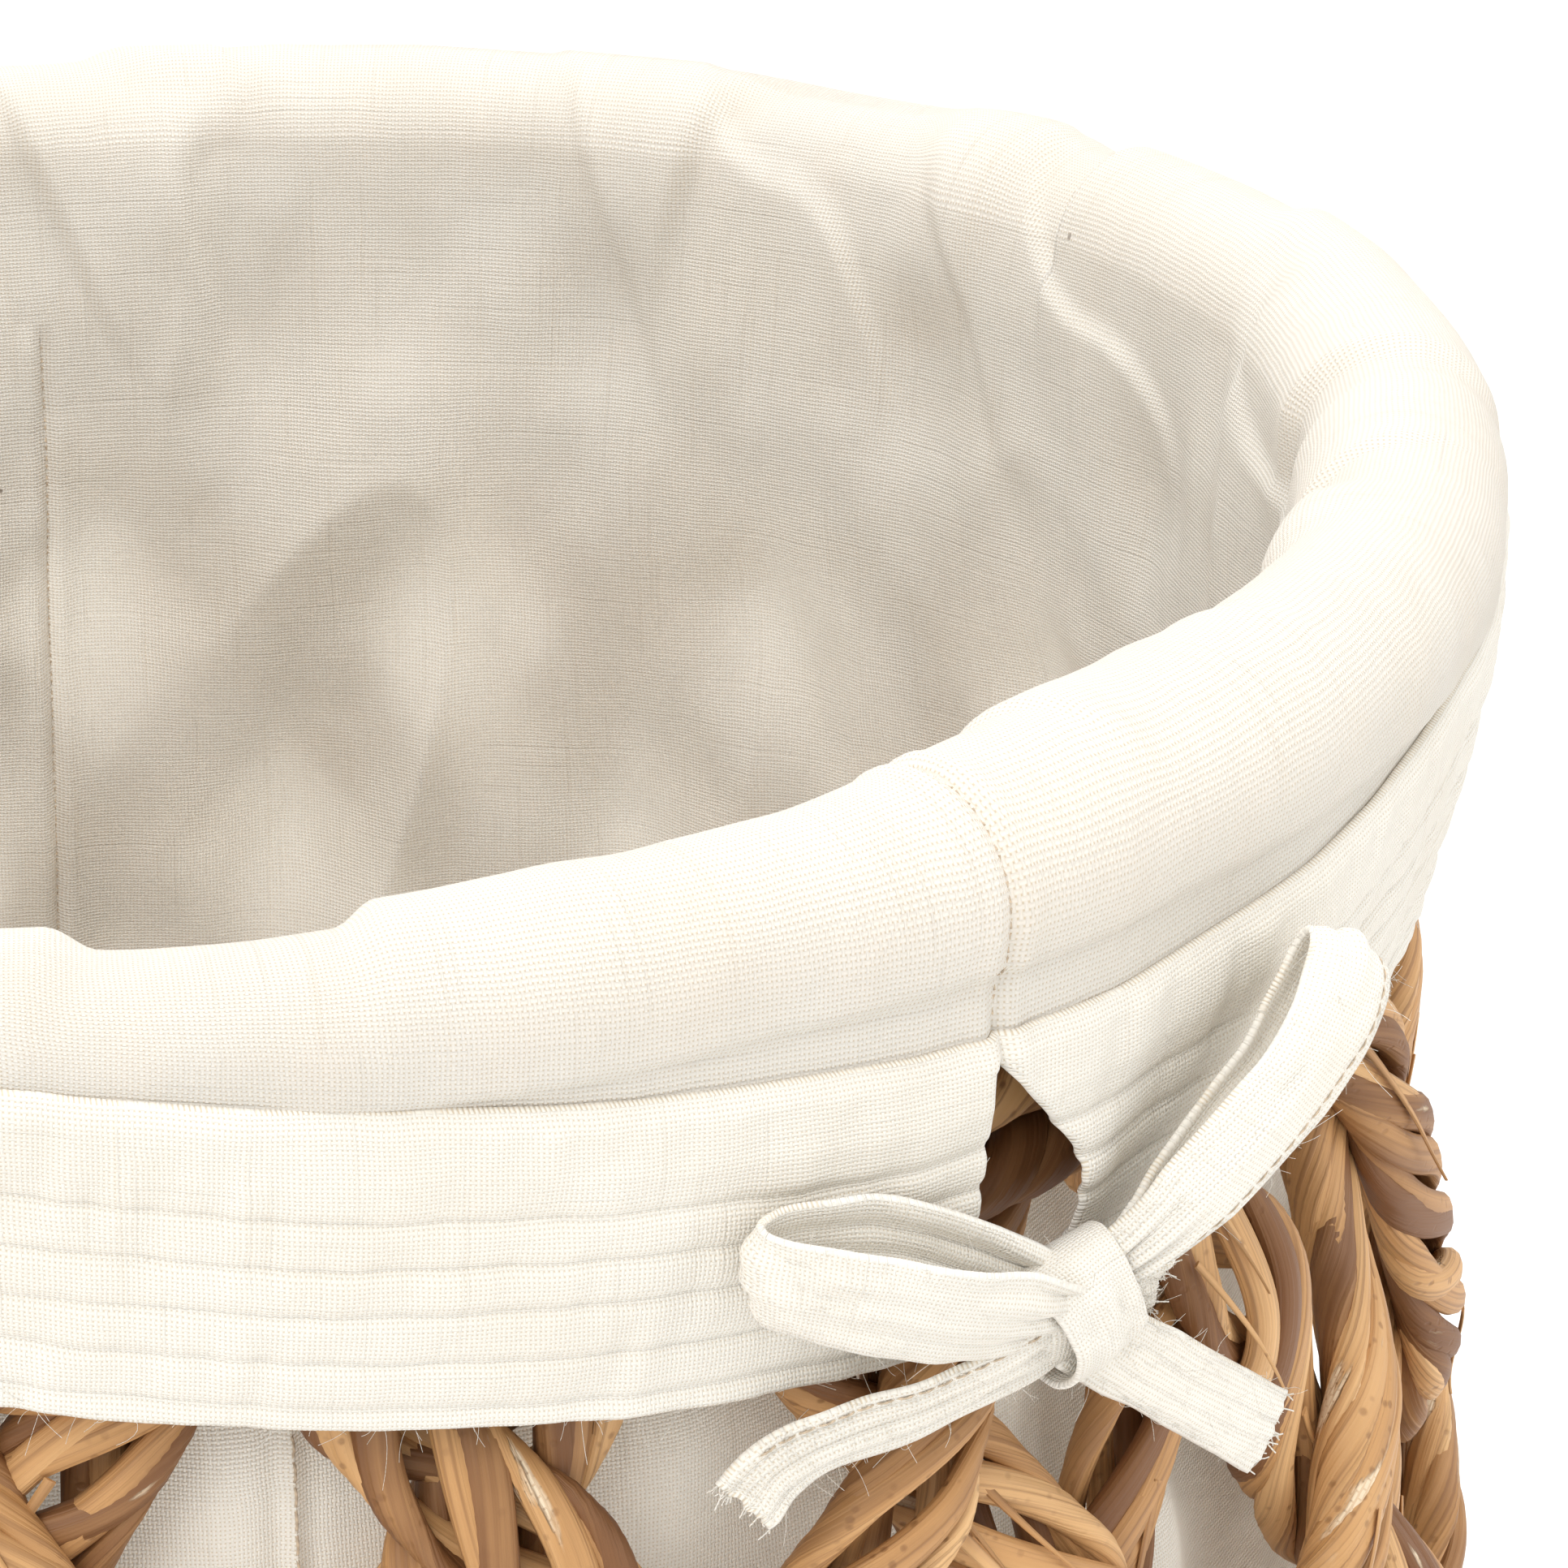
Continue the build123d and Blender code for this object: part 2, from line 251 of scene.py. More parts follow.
def smooth_curve(points, count):
    """A Catmull-Rom curve through rows of numbers."""
    rows = np.array(points, float)
    rows = np.vstack([2 * rows[0] - rows[1], rows, 2 * rows[-1] - rows[-2]])
    place = np.linspace(0, len(points) - 1, count)
    start = np.minimum(place.astype(int), len(points) - 2)
    t = (place - start)[:, None]
    a, b, c, d = (rows[start + k] for k in range(4))
    return 0.5 * (2 * b + (c - a) * t + (2 * a - 5 * b + 4 * c - d) * t**2 + (3 * b - a - 3 * c + d) * t**3)


def unit(vectors):
    """The vectors at length 1."""
    return vectors / np.maximum(np.linalg.norm(vectors, axis=-1, keepdims=True), 1e-12)


def run_along(points):
    """The length along a line of points, at each point."""
    steps = np.linalg.norm(np.diff(points, axis=-2), axis=-1)
    return np.concatenate([np.zeros(steps.shape[:-1] + (1,)), np.cumsum(steps, -1)], -1)


# --- Meshes --------------------------------------------------------------------------


class Shape:
    """Gathers strands and cloth into one smooth mesh.  Its UVs are in metres."""

    def __init__(self):
        self.points, self.faces, self.uvs, self.tones = [], [], [], []
        self.count = 0

    def add(self, points, faces, face_uvs, tones):
        self.points.append(points.reshape(-1, 3))
        self.faces.append(faces + self.count)
        self.uvs.append(face_uvs.reshape(-1, 2))
        self.tones.append(np.broadcast_to(tones, points.shape[:-1]).ravel())
        self.count += len(self.points[-1])

    def grids(self, points, uvs, tones=0.5, closed=False):
        """Quads over grids of points, (count, rows, columns, 3).  A closed grid joins its last column to
        its first, and its uvs have one column more than its points."""
        count, rows, columns = points.shape[:3]
        last = columns if closed else columns - 1
        k, i, j = np.meshgrid(np.arange(count), np.arange(rows - 1), np.arange(last), indexing="ij")
        low, high = (k * rows + i) * columns, (k * rows + i + 1) * columns
        after = (j + 1) % columns
        faces = np.stack([low + j, low + after, high + after, high + j], -1)
        face_uvs = np.stack([uvs[k, i, j], uvs[k, i, j + 1], uvs[k, i + 1, j + 1], uvs[k, i + 1, j]], -2)
        self.add(points, faces.reshape(-1, 4), face_uvs, tones)

    def strands(self, paths, across, width, thickness, tones, closed=False, sides=10, boxy=0.75):
        """Strands of a flattened round section along paths, (count, steps, 3).  across is the direction
        of their width."""
        paths = np.asarray(paths, float)
        ahead = np.roll(paths, -1, 1) - np.roll(paths, 1, 1) if closed else np.gradient(paths, axis=1)
        ahead = unit(ahead)
        across = np.broadcast_to(across, paths.shape)
        across = unit(across - ahead * (across * ahead).sum(-1, keepdims=True))
        through = np.cross(ahead, across)
        turned = np.linspace(0, 2 * pi, sides, endpoint=False)
        wide = np.sign(np.cos(turned)) * np.abs(np.cos(turned)) ** boxy / 2
        deep = np.sign(np.sin(turned)) * np.abs(np.sin(turned)) ** boxy / 2
        width = np.broadcast_to(width, paths.shape[:2])[..., None, None]
        thickness = np.broadcast_to(thickness, paths.shape[:2])[..., None, None]
        rings = paths[:, :, None] + across[:, :, None] * wide[:, None] * width
        rings = rings + through[:, :, None] * deep[:, None] * thickness
        run = run_along(paths)
        if closed:
            rings = np.concatenate([rings, rings[:, :1]], 1)
            gap = np.linalg.norm(paths[:, 0] - paths[:, -1], axis=-1)
            run = np.concatenate([run, (run[:, -1] + gap)[:, None]], 1)
        tones = np.broadcast_to(tones, len(paths))[:, None, None]
        girth = 1.6 * float(width.mean() + thickness.mean())
        around = np.linspace(0, girth, sides + 1)
        uvs = np.stack(np.broadcast_arrays(run[..., None] + 7.3 * tones, around + 3.1 * tones), -1)
        self.grids(rings, uvs, tones, closed=True)
        if not closed:
            for ring, step in ((0, -1), (-1, 1)):
                self.close_end(rings[:, ring], uvs[:, ring], tones, step)

    def close_end(self, ring, uvs, tones, step):
        """Closes strand ends with triangles round a middle point."""
        count, sides = ring.shape[:2]
        points = np.concatenate([ring, ring.mean(1, keepdims=True)], 1)
        k, j = np.meshgrid(np.arange(count), np.arange(sides), indexing="ij")
        base = k * (sides + 1)
        ordered = [base + j, base + (j + 1) % sides, base + sides]
        faces = np.stack(ordered[::step], -1).reshape(-1, 3)
        face_uvs = np.repeat(uvs[:, :sides].reshape(-1, 1, 2), 3, 1)
        self.add(points, faces, face_uvs, tones[:, :, 0])

    def slab(self, points, uvs, thickness, tone=0.5):
        """Cloth with a thickness and rounded edges, from a grid of points (rows, columns, 3)."""
        near, far = unit(points[0] - points[1]), unit(points[-1] - points[-2])
        half = thickness / 2
        points = np.concatenate([points[:1] + near * half, points, points[-1:] + far * half])
        uvs = np.concatenate([uvs[:1], uvs, uvs[-1:]])
        normal = unit(np.cross(np.gradient(points, axis=1), np.gradient(points, axis=0)))
        reach = np.full(len(points), half)
        reach[[0, -1]] *= 0.2
        reach[[1, -2]] *= 0.8
        lift = normal * reach[:, None, None]
        edges = unit(points[:, [0, -1]] - points[:, [1, -2]]) * half
        first, last = points[:, :1] + edges[:, :1], points[:, -1:] + edges[:, 1:]
        ring = np.concatenate([points + lift, last, (points - lift)[:, ::-1], first], 1)
        turned_uvs = np.concatenate([uvs, uvs[:, -1:], uvs[:, ::-1], uvs[:, :1], uvs[:, :1]], 1)
        start = self.count
        self.grids(ring[None], turned_uvs[None], tone, closed=True)
        self.close_slab(start, ring, turned_uvs, tone)

    def close_slab(self, start, ring, uvs, tone):
        """Closes the two narrow ends of a slab whose rings run along its front and back again."""
        rows, around = ring.shape[:2]
        j = np.arange(around // 2)
        for row, step in ((0, 1), (rows - 1, -1)):
            base = start + row * around
            opposite = (around - 2 - j) % around
            corners = [base + j, base + opposite, base + (around - 3 - j) % around, base + j + 1]
            quads = np.stack(corners, -1)[: around // 2 - 1]
            tips = np.array([[base, base + around - 1, base + around - 2]])
            for faces in (quads, tips):
                self.faces.append(faces[:, ::step])
                self.uvs.append(uvs[row][(faces - base) % around][:, ::step].reshape(-1, 2))

    def build(self, name, material, body, slot):
        """One smooth mesh object of all that was added, on its body.  Its slot is not used."""
        corners = np.concatenate([faces.ravel() for faces in self.faces])
        sizes = np.concatenate([np.full(len(faces), faces.shape[1]) for faces in self.faces])
        points = np.concatenate(self.points)
        mesh = bpy.data.meshes.new(name)
        mesh.vertices.add(len(points))
        mesh.vertices.foreach_set("co", points.astype(np.float32).ravel())
        mesh.loops.add(len(corners))
        mesh.loops.foreach_set("vertex_index", corners.astype(np.int32))
        mesh.polygons.add(len(sizes))
        mesh.polygons.foreach_set("loop_start", (np.cumsum(sizes) - sizes).astype(np.int32))
        mesh.polygons.foreach_set("use_smooth", np.ones(len(sizes), bool))
        layer = mesh.uv_layers.new(name="Metres")
        layer.data.foreach_set("uv", np.concatenate(self.uvs).astype(np.float32).ravel())
        tone = mesh.attributes.new("tone", "FLOAT", "POINT")
        tone.data.foreach_set("value", np.concatenate(self.tones).astype(np.float32))
        mesh.materials.append(material)
        mesh.update()
        mesh.validate()
        piece = bpy.data.objects.new(name, mesh)
        bpy.context.scene.collection.objects.link(piece)
        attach(piece, body)
        return piece


# --- Materials -----------------------------------------------------------------------


class Signal:
    """A socket's value in a material.  Arithmetic on it adds Math nodes."""

    def __init__(self, paint, socket):
        self.paint, self.socket = paint, socket

    def math(self, operation, *others):
        sockets = dict(enumerate((self, *others)))
        return self.paint.node("ShaderNodeMath", "Value", {"operation": operation}, sockets)

    def __add__(self, other):
        return self.math("ADD", other)

    def __radd__(self, other):
        return self.math("ADD", other)

    def __sub__(self, other):
        return self.math("SUBTRACT", other)

    def __rsub__(self, other):
        return (self * -1).math("ADD", other)

    def __mul__(self, other):
        return self.math("MULTIPLY", other)

    def __rmul__(self, other):
        return self.math("MULTIPLY", other)

    def __truediv__(self, other):
        return self.math("DIVIDE", other)

    def __abs__(self):
        return self.math("ABSOLUTE")

    def sine(self):
        return self.math("SINE")

    def larger(self, other):
        return self.math("MAXIMUM", other)

    def between(self, low, high):
        """0 below low and 1 above high, smooth between them."""
        chosen = {"interpolation_type": "SMOOTHSTEP"}
        return self.paint.node(
            "ShaderNodeMapRange", "Result", chosen, {"Value": self, "From Min": low, "From Max": high}
        )


class Paint:
    """A material under construction."""

    def __init__(self, name):
        self.material = bpy.data.materials.new(name)
        self.material.use_nodes = True
        self.tree = self.material.node_tree
        self.tree.nodes.clear()

    def node(self, kind, output, chosen, sockets):
        """A node of that type, its settings chosen first, then its sockets' values or links."""
        made = self.tree.nodes.new(kind)
        for name, value in chosen.items():
            setattr(made, name, value)
        for key, value in sockets.items():
            if isinstance(value, Signal):
                self.tree.links.new(value.socket, made.inputs[key])
            elif hasattr(value, "__len__") and len(made.inputs[key].default_value) == 4:
                made.inputs[key].default_value = (*value, 1)
            else:
                made.inputs[key].default_value = value
        return Signal(self, made.outputs[output]) if output is not None else made

    def uv(self):
        """The surface's own lengths, along and across, in metres."""
        split = {"Vector": self.node("ShaderNodeTexCoord", "UV", {}, {})}
        return [self.node("ShaderNodeSeparateXYZ", axis, {}, split) for axis in "XY"]

    def tone(self):
        """The tone of the strand or the cloth, from 0 to 1."""
        return self.node("ShaderNodeAttribute", "Fac", {"attribute_name": "tone"}, {})

    def point(self, x, y, z=0.0):
        return self.node("ShaderNodeCombineXYZ", "Vector", {}, {"X": x, "Y": y, "Z": z})

    def noise(self, point, scale, detail=2.0):
        sockets = {"Vector": point, "Scale": scale, "Detail": detail}
        return self.node("ShaderNodeTexNoise", "Fac", {}, sockets)

    def spots(self, point, scale):
        """Distance from scattered points."""
        return self.node("ShaderNodeTexVoronoi", "Distance", {}, {"Vector": point, "Scale": scale})

    def blend(self, factor, first, second):
        return self.node("ShaderNodeMix", 2, {"data_type": "RGBA"}, {0: factor, 6: first, 7: second})

    def relief(self, height, distance):
        return self.node("ShaderNodeBump", "Normal", {}, {"Height": height, "Distance": distance})

    def finish(self, shader):
        self.node("ShaderNodeOutputMaterial", None, {}, {"Surface": shader})
        return self.material


def calico(name, glow):
    """Plain-woven cotton with uneven threads, slubs and seed flecks, and painted shade in the hollows of its
    weave.  glow is how much light passes it.
    """
    hues = settings("colours")
    base, shade = tuple(hues.calico), tuple(hues.calico_tone_and_shade)
    thread_relief = 0.00022
    paint = Paint(name)
    u, v = paint.uv()
    cloth = paint.point(u, v, paint.tone() * 9.0)
    wander = (paint.noise(cloth, 90.0) - 0.5) * 0.0011
    scale = pi / settings("liner").thread
    warp = ((u + wander) * scale).sine()
    weft = ((v + wander * 0.8) * scale).sine()
    over = warp * weft
    up_warp = abs(warp) * (over * 0.38 + 0.62)
    up_weft = abs(weft) * (0.62 - over * 0.38)
    slub_warp = paint.noise(paint.point(u * 900.0, v * 22.0), 1.0, 1.0).between(0.60, 0.76)
    slub_weft = paint.noise(paint.point(u * 22.0, v * 900.0, 5.0), 1.0, 1.0).between(0.60, 0.76)
    threads = up_warp.larger(up_weft)
    height = threads + slub_warp * 0.30 + slub_weft * 0.30
    # painted shade: the hollows between the threads are darkened towards the shade colour
    hollow_shade = 1 - threads.between(0.10, 0.50)
    cloudy = paint.noise(cloth, 38.0, 4.0).between(0.30, 0.75)
    tint = paint.blend(hollow_shade + slub_warp * 0.10 + cloudy * 0.14, base, shade)
    grain = paint.noise(paint.point(u, v, 3.0), 1500.0, 1.0).between(0.55, 0.8)
    tint = paint.blend(grain * 0.16, tint, shade)
    fleck = 1 - paint.spots(cloth, 58.0).between(0.018, 0.034)
    fleck = fleck * paint.noise(cloth, 60.0).between(0.48, 0.56)
    tint = paint.blend(fleck * 0.75, tint, tuple(hues.fleck))
    normal = paint.relief(height, thread_relief)
    sockets = {
        "Base Color": tint, "Roughness": 0.92, "Normal": normal, "Sheen Weight": 0.18,
        "Sheen Roughness": 0.6, "Specular IOR Level": 0.15,
    }
    cotton = paint.node("ShaderNodeBsdfPrincipled", "BSDF", {}, sockets)
    lit = paint.node("ShaderNodeBsdfTranslucent", "BSDF", {}, {"Color": tint, "Normal": normal})
    return paint.finish(paint.node("ShaderNodeMixShader", "Shader", {}, {0: glow, 1: cotton, 2: lit}))


def stems(name, darkness=0.0):
    """Dry plant stems: length-wise grain, speckles, torn pale patches and a slight sheen."""
    hues = settings("colours")
    paint = Paint(name)
    u, v = paint.uv()
    tone = paint.tone()
    stem = paint.point(u, v, tone * 11.0)
    fibre = paint.noise(paint.point(u * 14.0, v * 1400.0, tone * 20.0), 1.0, 4.0)
    streak = paint.noise(paint.point(u * 9.0, v * 330.0, tone * 13.0), 1.0, 3.0)
    cloudy = paint.noise(stem, 34.0, 3.0)
    depth = tone * 0.85 + streak * 0.65 + cloudy * 0.55 - 0.62 - darkness
    tint = paint.blend(depth.between(0.05, 0.52), tuple(hues.stem_dark), tuple(hues.stem_mid))
    tint = paint.blend(depth.between(0.42, 1.05), tint, tuple(hues.stem_light))
    tint = paint.blend(fibre.between(0.48, 0.66) * 0.5, tint, tuple(hues.stem_dark))
    speckle = (1 - paint.spots(stem, 420.0).between(0.10, 0.30)) * cloudy.between(0.42, 0.62)
    tint = paint.blend(speckle * 0.55, tint, tuple(hues.stem_dark))
    torn = paint.noise(paint.point(u * 26.0, v * 120.0, tone * 31.0), 1.0, 5.0).between(0.66, 0.70)
    cells = {
        "Vector": paint.point(u, v), "Scale": 1.0, "Brick Width": 0.0016, "Row Height": 0.0007,
        "Mortar Size": 0.00012,
    }
    walls = paint.node("ShaderNodeTexBrick", "Fac", {"offset": 0.5}, cells)
    tint = paint.blend(torn * 0.8, tint, tuple(hues.pith))
    tint = paint.blend(torn * walls * 0.35, tint, tuple(hues.stem_mid))
    height = fibre * 0.5 + streak * 0.9 - torn * 0.5 - torn * walls * 0.5 - speckle * 0.2
    sockets = {
        "Base Color": tint, "Roughness": 0.42 + cloudy * 0.25 + torn * 0.25,
        "Normal": paint.relief(height, 0.0007), "Specular IOR Level": 0.4,
    }
    return paint.finish(paint.node("ShaderNodeBsdfPrincipled", "BSDF", {}, sockets))


def thread_finish():
    """Twisted sewing thread."""
    hue = settings("colours").thread
    paint = Paint("Sewing thread")
    u, v = paint.uv()
    twist = ((u * 2.2 + v * 3.0) * 2400.0).sine()
    shaded = twist.between(-1.0, 1.0) * 0.5 + paint.tone() * 0.3
    tint = paint.blend(shaded, tuple(hue), tuple(0.6 * c for c in hue))
    sockets = {
        "Base Color": tint, "Roughness": 0.8, "Normal": paint.relief(twist, 0.00005), "Sheen Weight": 0.2,
    }
    return paint.finish(paint.node("ShaderNodeBsdfPrincipled", "BSDF", {}, sockets))


def steel_finish():
    """Galvanised wire with a dull mottle."""
    hue = tuple(settings("colours").steel)
    paint = Paint("Hoop steel")
    place = paint.node("ShaderNodeTexCoord", "Object", {}, {})
    mottle = paint.noise(place, 240.0, 4.0)
    tint = paint.blend(mottle, hue, tuple(0.6 * c for c in hue))
    sockets = {"Base Color": tint, "Metallic": 1.0, "Roughness": 0.3 + mottle * 0.25}
    return paint.finish(paint.node("ShaderNodeBsdfPrincipled", "BSDF", {}, sockets))


def floor_finish():
    """Smooth matt floor with a barely seen grain."""
    hue = tuple(settings("colours").floor)
    paint = Paint("Studio floor")
    place = paint.node("ShaderNodeTexCoord", "Object", {}, {})
    tint = paint.blend(paint.noise(place, 3.0, 3.0) * 0.1, hue, tuple(0.97 * c for c in hue))
    sockets = {"Base Color": tint, "Roughness": 0.7}
    return paint.finish(paint.node("ShaderNodeBsdfPrincipled", "BSDF", {}, sockets))


# --- Woven stems ---------------------------------------------------------------------


def crossing_side(lean, number, row):
    """1 where this bundle passes outside at that row of crossings, and -1 where it passes inside."""
    outer_in_front = (2 * number - lean * row) % 3 == 0
    return np.where(outer_in_front, lean, -lean)


def bundle_line(oval, lean, number, steps):
    """The middle line of a bundle from the border down to the base, with its outward directions."""
    form, stem = settings("basket_form"), settings("stems")
    low, high = BUNDLE_BOX[0].z, BUNDLE_BOX[1].z
    tucked = 0.006
    height = np.linspace(high + tucked, low - tucked, steps)
    rows_down = (form.top_row - height) / form.row_pitch
    row = np.floor(rows_down).astype(int)
    before, after = crossing_side(lean, number, row), crossing_side(lean, number, row + 1)
    shift = ease((rows_down - row - 0.12) / 0.76)
    side = before * (1 - shift) + after * shift
    held = ease((high - height) / 0.03) * ease((height - low) / 0.03)
    pitch = oval.perimeter / BUNDLES
    stray = 0.0022 * noise(height / 0.06, number * 3.7 + lean, 11)
    distance = number * pitch - lean * rows_down * pitch / 2 + stray * held
    return oval.at(distance, wall_offset(height) + side * stem.weave * held, height)


def wound_stems(shape, line, outward, rng):
    """The stems of a bundle, wound round each other along a line.  Returns the sideways directions."""
    stem = settings("stems")
    run = run_along(line)
    sideways = np.cross(unit(np.gradient(line, axis=0)), outward)
    handed = rng.choice([-1, 1])
    for number in range(stem.per_bundle):
        wander = noise(run / 0.05, number + rng.uniform(0, 60), rng.integers(9999))
        phase = 2 * pi * (number / stem.per_bundle + handed * run / stem.turn) + 0.8 * wander
        spread = stem.spread * (1 + 0.16 * noise(run / 0.04, number * 5.0, rng.integers(9999)))
        path = line + sideways * (np.cos(phase) * spread)[:, None]
        path = path + outward * (np.sin(phase) * stem.depth)[:, None]
        flat = sideways * (-np.sin(phase) * 1.3)[:, None] + outward * (np.cos(phase) * 0.55)[:, None]
        width = stem.width * rng.uniform(0.78, 1.18)
        width = width * (1 + 0.10 * noise(run / 0.02, number * 2.0, rng.integers(9999)))
        thickness = stem.thickness * rng.uniform(0.8, 1.15)
        tone = rng.uniform(0.05, 0.98)
        shape.strands(path[None], flat[None], width[None], thickness, [tone], sides=12, boxy=0.88)
    return sideways


def splinters(shape, line, outward, sideways, rng, count):
    """Thin torn slivers that lift away from a bundle's outer side."""
    stem = settings("stems")
    for _ in range(count):
        first = rng.integers(4, len(line) - 30)
        steps = rng.integers(12, 26)
        span = slice(first, first + steps)
        t = np.linspace(0, 1, steps)[:, None]
        side = rng.uniform(-1, 1) * stem.spread * 0.9
        lift = stem.depth + stem.thickness * 0.45 + 0.0045 * rng.uniform(0.2, 1) * t**2.5
        astray = side + 0.004 * rng.uniform(-1, 1) * t**2
        path = line[span] + outward[span] * lift + sideways[span] * astray
        width = np.linspace(rng.uniform(0.0012, 0.0028), 0.0003, steps)[None]
        shape.strands(path[None], sideways[span][None], width, 0.0005, [rng.uniform(0.4, 1)], sides=5)


def twined_row(shape, oval, offset, height, depth, tall, pairs, phase, rng):
    """Three strands of stems that twist round each other along a row of the border or the base."""
    distance = np.linspace(0, oval.perimeter, pairs * 22, endpoint=False)
    share = distance / oval.perimeter
    middle, outward = oval.at(distance, offset, height)
    for number in range(3):
        turned = 2 * pi * (pairs * share + number / 3) + phase
        turned = turned + 0.25 * noise(share * 40, number * 4.0, rng.integers(9999), 40)
        path = middle + outward * (np.cos(turned) * depth * 0.30)[:, None]
        path = path + UP * (np.sin(turned) * tall * 0.27)[:, None]
        flat = UP * np.cos(turned)[:, None] - outward * np.sin(turned)[:, None]
        width = tall * 0.62 * (1 + 0.12 * noise(share * 60, number * 7.0, rng.integers(9999), 60))
        tone = rng.uniform(0.2, 0.9)
        shape.strands(path[None], flat[None], width[None], depth * 0.36, [tone], closed=True)


class BASKET_OT_lattice(bpy.types.Operator):
    """The bundles of stems that lean both ways and weave through each other"""

    bl_idname = "basket.lattice"
    bl_label = "Lattice"

    def execute(self, context):
        oval = Oval()
        finish = stems("Woven stems")
        for layer, lean in BOTH_WAYS.items():
            for number in range(BUNDLES):
                rng = np.random.default_rng(100 * lean + number + 500)
                line, outward = bundle_line(oval, lean, number, 300)
                shape = Shape()
                sideways = wound_stems(shape, line, outward, rng)
                splinters(shape, line, outward, sideways, rng, count=9)
                node = f"{layer}_bundle_{number + 1:02d}"
                piece = shape.build(f"stems_{node}", finish, "basket", "woven_stems")
                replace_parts(piece, node)
        return {"FINISHED"}


class BASKET_OT_rim(bpy.types.Operator):
    """The wrapped roll of the rim and the twined rows below it"""

    bl_idname = "basket.rim"
    bl_label = "Rim"

    def execute(self, context):
        oval = Oval()
        form = settings("basket_form")
        finish = stems("Border stems", darkness=0.08)
        rng = np.random.default_rng(31)
        roll = Shape()
        turns, around = 52, 22
        share = np.linspace(0, 1, turns * around, endpoint=False)
        middle, outward = oval.at(share * oval.perimeter, 0, oval.height)
        strip_width, strip_thickness = 0.0092, 0.0032
        reach = form.roll_radius - strip_thickness / 2
        for number in range(2):
            turned = 2 * pi * (turns * share + number / 2)
            side = outward * np.cos(turned)[:, None] + UP * np.sin(turned)[:, None]
            path = middle + side * reach
            flat = np.cross(unit(np.roll(path, -1, 0) - np.roll(path, 1, 0)), side)
            width = strip_width * (1 + 0.1 * noise(share * turns, number * 6.0, 17, turns))
            tone = rng.uniform(0.3, 0.8)
            roll.strands(path[None], flat[None], width[None], strip_thickness, [tone], closed=True)
        piece = roll.build("rim_wrapping", finish, "basket", "border_stems")
        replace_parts(piece, "rim_wrap")
        for number in range(3):
            node = f"rim_border_row_{number + 1}"
            low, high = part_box(node)
            row = Shape()
            depth = 2 * (form.roll_radius - 0.003)
            offset = high.y - oval.at(oval.perimeter / 2, 0, 0)[0][1] - depth / 2
            middle, tall = (low.z + high.z) / 2, high.z - low.z
            twined_row(row, oval, offset, middle, depth, tall, pairs=30, phase=1.7 * number, rng=rng)
            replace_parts(row.build(f"{node}_stems", finish, "basket", "border_stems"), node)
        return {"FINISHED"}


class BASKET_OT_base(bpy.types.Operator):
    """The twined rows of the base and the mat woven inside them"""

    bl_idname = "basket.base"
    bl_label = "Base"

    def execute(self, context):
        oval = Oval()
        form = settings("basket_form")
        finish = stems("Base stems", darkness=0.08)
        rng = np.random.default_rng(47)
        for node in ("base_row_lower", "base_row_upper"):
            low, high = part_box(node)
            row = Shape()
            tall = (high.z - low.z) * 0.97
            phase = 2.2 * (node == "base_row_upper")
            middle, depth = (low.z + high.z) / 2, 0.0142
            twined_row(row, oval, form.base_offset, middle, depth, tall, pairs=28, phase=phase, rng=rng)
            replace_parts(row.build(f"{node}_stems", finish, "basket", "border_stems"), node)
        mat = self.woven_mat(oval, rng)
        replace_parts(mat.build("base_mat_strips", stems("Mat strips"), "basket", "base_weave"), "base_mat")
        return {"FINISHED"}

    def woven_mat(self, oval, rng):
        """Strips woven over and under, cut to the oval inside the base rows."""
        pitch = settings("basket_form").mat_pitch
        low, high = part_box("base_mat")
        edge, _ = oval.at(np.linspace(0, oval.perimeter, 721), high.y - RIM_HOOP[1].y + 0.0025, 0)
        mat = Shape()
        for way in (0, 1):
            other = 1 - way
            reach = float(np.abs(edge[:, other]).max())
            count = int(reach / pitch)
            order = np.argsort(edge[:, other])
            far_side = edge[order][edge[order][:, way] >= 0]
            for number in range(-count, count + 1):
                place = number * pitch
                half = float(np.interp(place, far_side[:, other], far_side[:, way])) - 0.001
                if half < pitch:
                    continue
                along = np.linspace(-half, half, max(12, int(2 * half / 0.0022)))
                wave = np.cos(pi * (along / pitch + number + way))
                path = np.zeros((len(along), 3))
                path[:, way] = along
                path[:, other] = place + 0.0006 * noise(along / 0.04, number * 2.3, 5 + way)
                path[:, 2] = (low.z + high.z) / 2 + 0.0017 * wave
                flat = np.cross(UP, unit(np.gradient(path, axis=0)))
                width = rng.uniform(0.0082, 0.0098)
                mat.strands(path[None], flat[None], width, 0.0030, [rng.uniform(0.2, 0.95)], sides=10)
        return mat


class BASKET_OT_hoops(bpy.types.Operator):
    """The finish of the two steel hoops inside the rim and the base"""

    bl_idname = "basket.hoops"
    bl_label = "Hoops"

    def execute(self, context):
        finish = steel_finish()
        for name in ("rim_hoop", "base_hoop"):
            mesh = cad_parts[name].data
            mesh.materials.clear()
            mesh.materials.append(finish)
        return {"FINISHED"}


# --- Cloth ---------------------------------------------------------------------------


